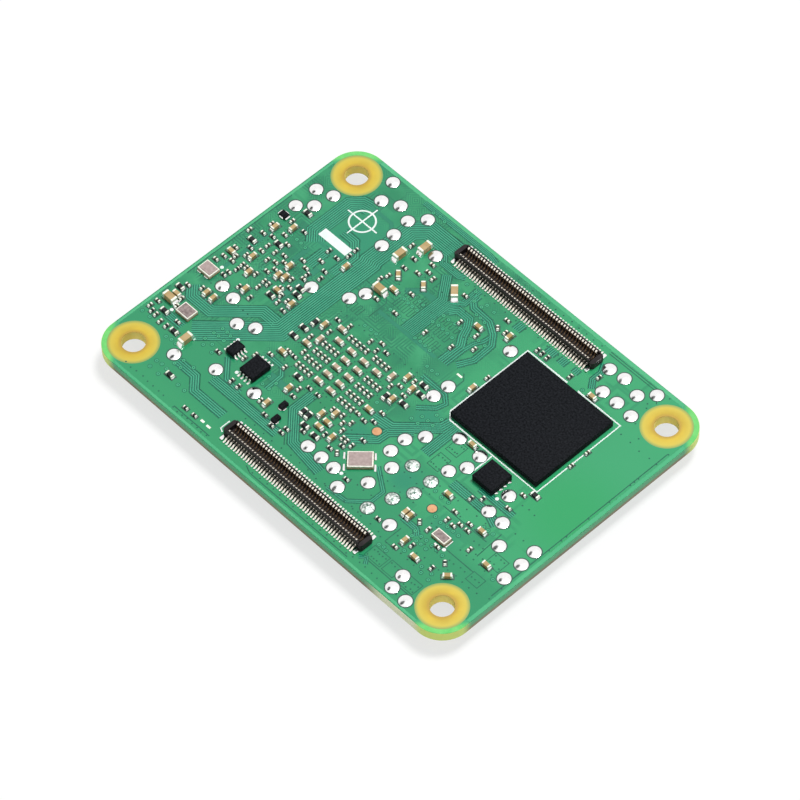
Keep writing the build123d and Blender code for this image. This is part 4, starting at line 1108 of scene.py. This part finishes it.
put(ribbons(lower_frames, back_face, -0.012), "lower_legend_lines", legend_ink)

# Radio shield: a folded can of tinned steel sheet over the radio chip. Its top has round vent holes in
# rows, and its skirt is one strip with rounded corners.
shield_tin = finish("shield_tin", (0.68, 0.69, 0.69), (0.76, 0.77, 0.77), 0.3, metallic=1.0, patch=3.0)
low, high, middle = span("radio_shield")
length, width, height = high - low
shield_sheet = 0.15
shield_corner = 0.6
vent_pitch = 1.9
vent_radius = 0.42
vents = [(i * vent_pitch, j * vent_pitch) for i in range(-2, 3) for j in range(-2, 3) if (i, j) != (0, 0)]
can_bm = plate(length, width, shield_corner, vents, vent_radius, low.z, low.z + shield_sheet)
bmesh.ops.translate(can_bm, vec=(middle.x, middle.y, 0), verts=can_bm.verts)
put(can_bm, "shield_top", shield_tin, ["radio_shield"])
skirt_bm = single((length, width, height - shield_sheet), (middle.x, middle.y, low.z + shield_sheet))
soften(skirt_bm, upright(skirt_bm.edges), shield_corner, 12)
level_faces = [side for side in skirt_bm.faces if abs(side.normal.z) > 0.9]
bmesh.ops.delete(skirt_bm, geom=level_faces, context="FACES_ONLY")
bmesh.ops.solidify(skirt_bm, geom=skirt_bm.faces[:], thickness=shield_sheet)
bmesh.ops.recalc_face_normals(skirt_bm, faces=skirt_bm.faces)
put(skirt_bm, "shield_skirt", shield_tin, ["radio_shield"])
refinish(package_black, "radio_chip")

# Power parts: three inductors of pressed ferrite and four large chip capacitors beside the power manager.
# They hang from the processor side, with solder at their ends.
ferrite_grey = finish("ferrite_grey", (0.10, 0.10, 0.105), (0.15, 0.15, 0.155), 0.6, patch=0.4)
inductor_height = blocks("power_inductors")[0][-1]
put(blocks_at("power_inductors", (2.5, 2.0, inductor_height), 0.12, 2, base=back_face - inductor_height),
    "inductor_bodies", ferrite_grey, ["power_inductors"], smooth=40)
power_places = [(Vector((place.x, -place.y, -back_face)), pi / 2)
                for place, *_ in blocks("power_capacitors")]
for part_name, model, material, slot, replaced in (
    ("ceramic", chip_body(*large_size, large_cap), capacitor_tan, "capacitor_ceramic", ["power_capacitors"]),
    ("caps", chip_caps(*large_size, large_cap), cap_tin, "lead_metal", ["power_capacitors"]),
    ("solder", chip_solder(*large_size, 0.3), solder_bright, "solder", ()),
):
    bm = copies(model, power_places)
    bmesh.ops.rotate(bm, verts=bm.verts, matrix=Matrix.Rotation(pi, 3, "X"))
    put(bm, f"power_capacitor_{part_name}", material, replaced)
put(blocks_at("power_inductors", (0.35, 1.7, 0.35), 0.08, asides=((-1.12, 0), (1.12, 0)),
              base=back_face - 0.35),
    "inductor_joints", solder_bright, smooth=40)

# Status lights: two white packages with a clear lens, and a bright joint at both ends of each. They hang
# from the processor side too.
led_milk = finish("led_milk", (0.80, 0.80, 0.72), (0.86, 0.86, 0.80), 0.25, patch=0.4)
put(blocks_at("status_leds", (0.8, 1.6, 0.6), 0.08, 2, base=back_face - 0.6), "status_lights", led_milk,
    ["status_leds"], smooth=40)
put(blocks_at("status_leds", (0.7, 0.3, 0.2), 0.05, asides=((0, -0.85), (0, 0.85)), base=back_face - 0.2),
    "status_light_joints", solder_bright, smooth=40)

# Antenna socket: a small square base of moulded plastic with a turned shell and a centre pin, both thinly
# plated with gold. A groove round the shell holds the plug.
low, high, middle = span("antenna_socket_base")
boxed("antenna_socket_base", 0.05, "antenna_base", socket_plastic, 1)
shell_profile = [(0.82, 0), (0.98, 0), (0.98, -0.45), (0.92, -0.55), (0.98, -0.65), (0.98, -0.9),
                 (0.93, -0.95), (0.82, -0.95)]
pin_profile = [(0, 0), (0.22, 0), (0.22, -0.7), (0.12, -0.79), (0, -0.79)]
for part_name, profile, steps in (("shell", shell_profile, 40), ("pin", pin_profile, 20)):
    put(turned(profile, [(middle.x, middle.y, low.z)], steps), f"antenna_{part_name}", contact_gold,
        [f"antenna_socket_{part_name}"], smooth=40)
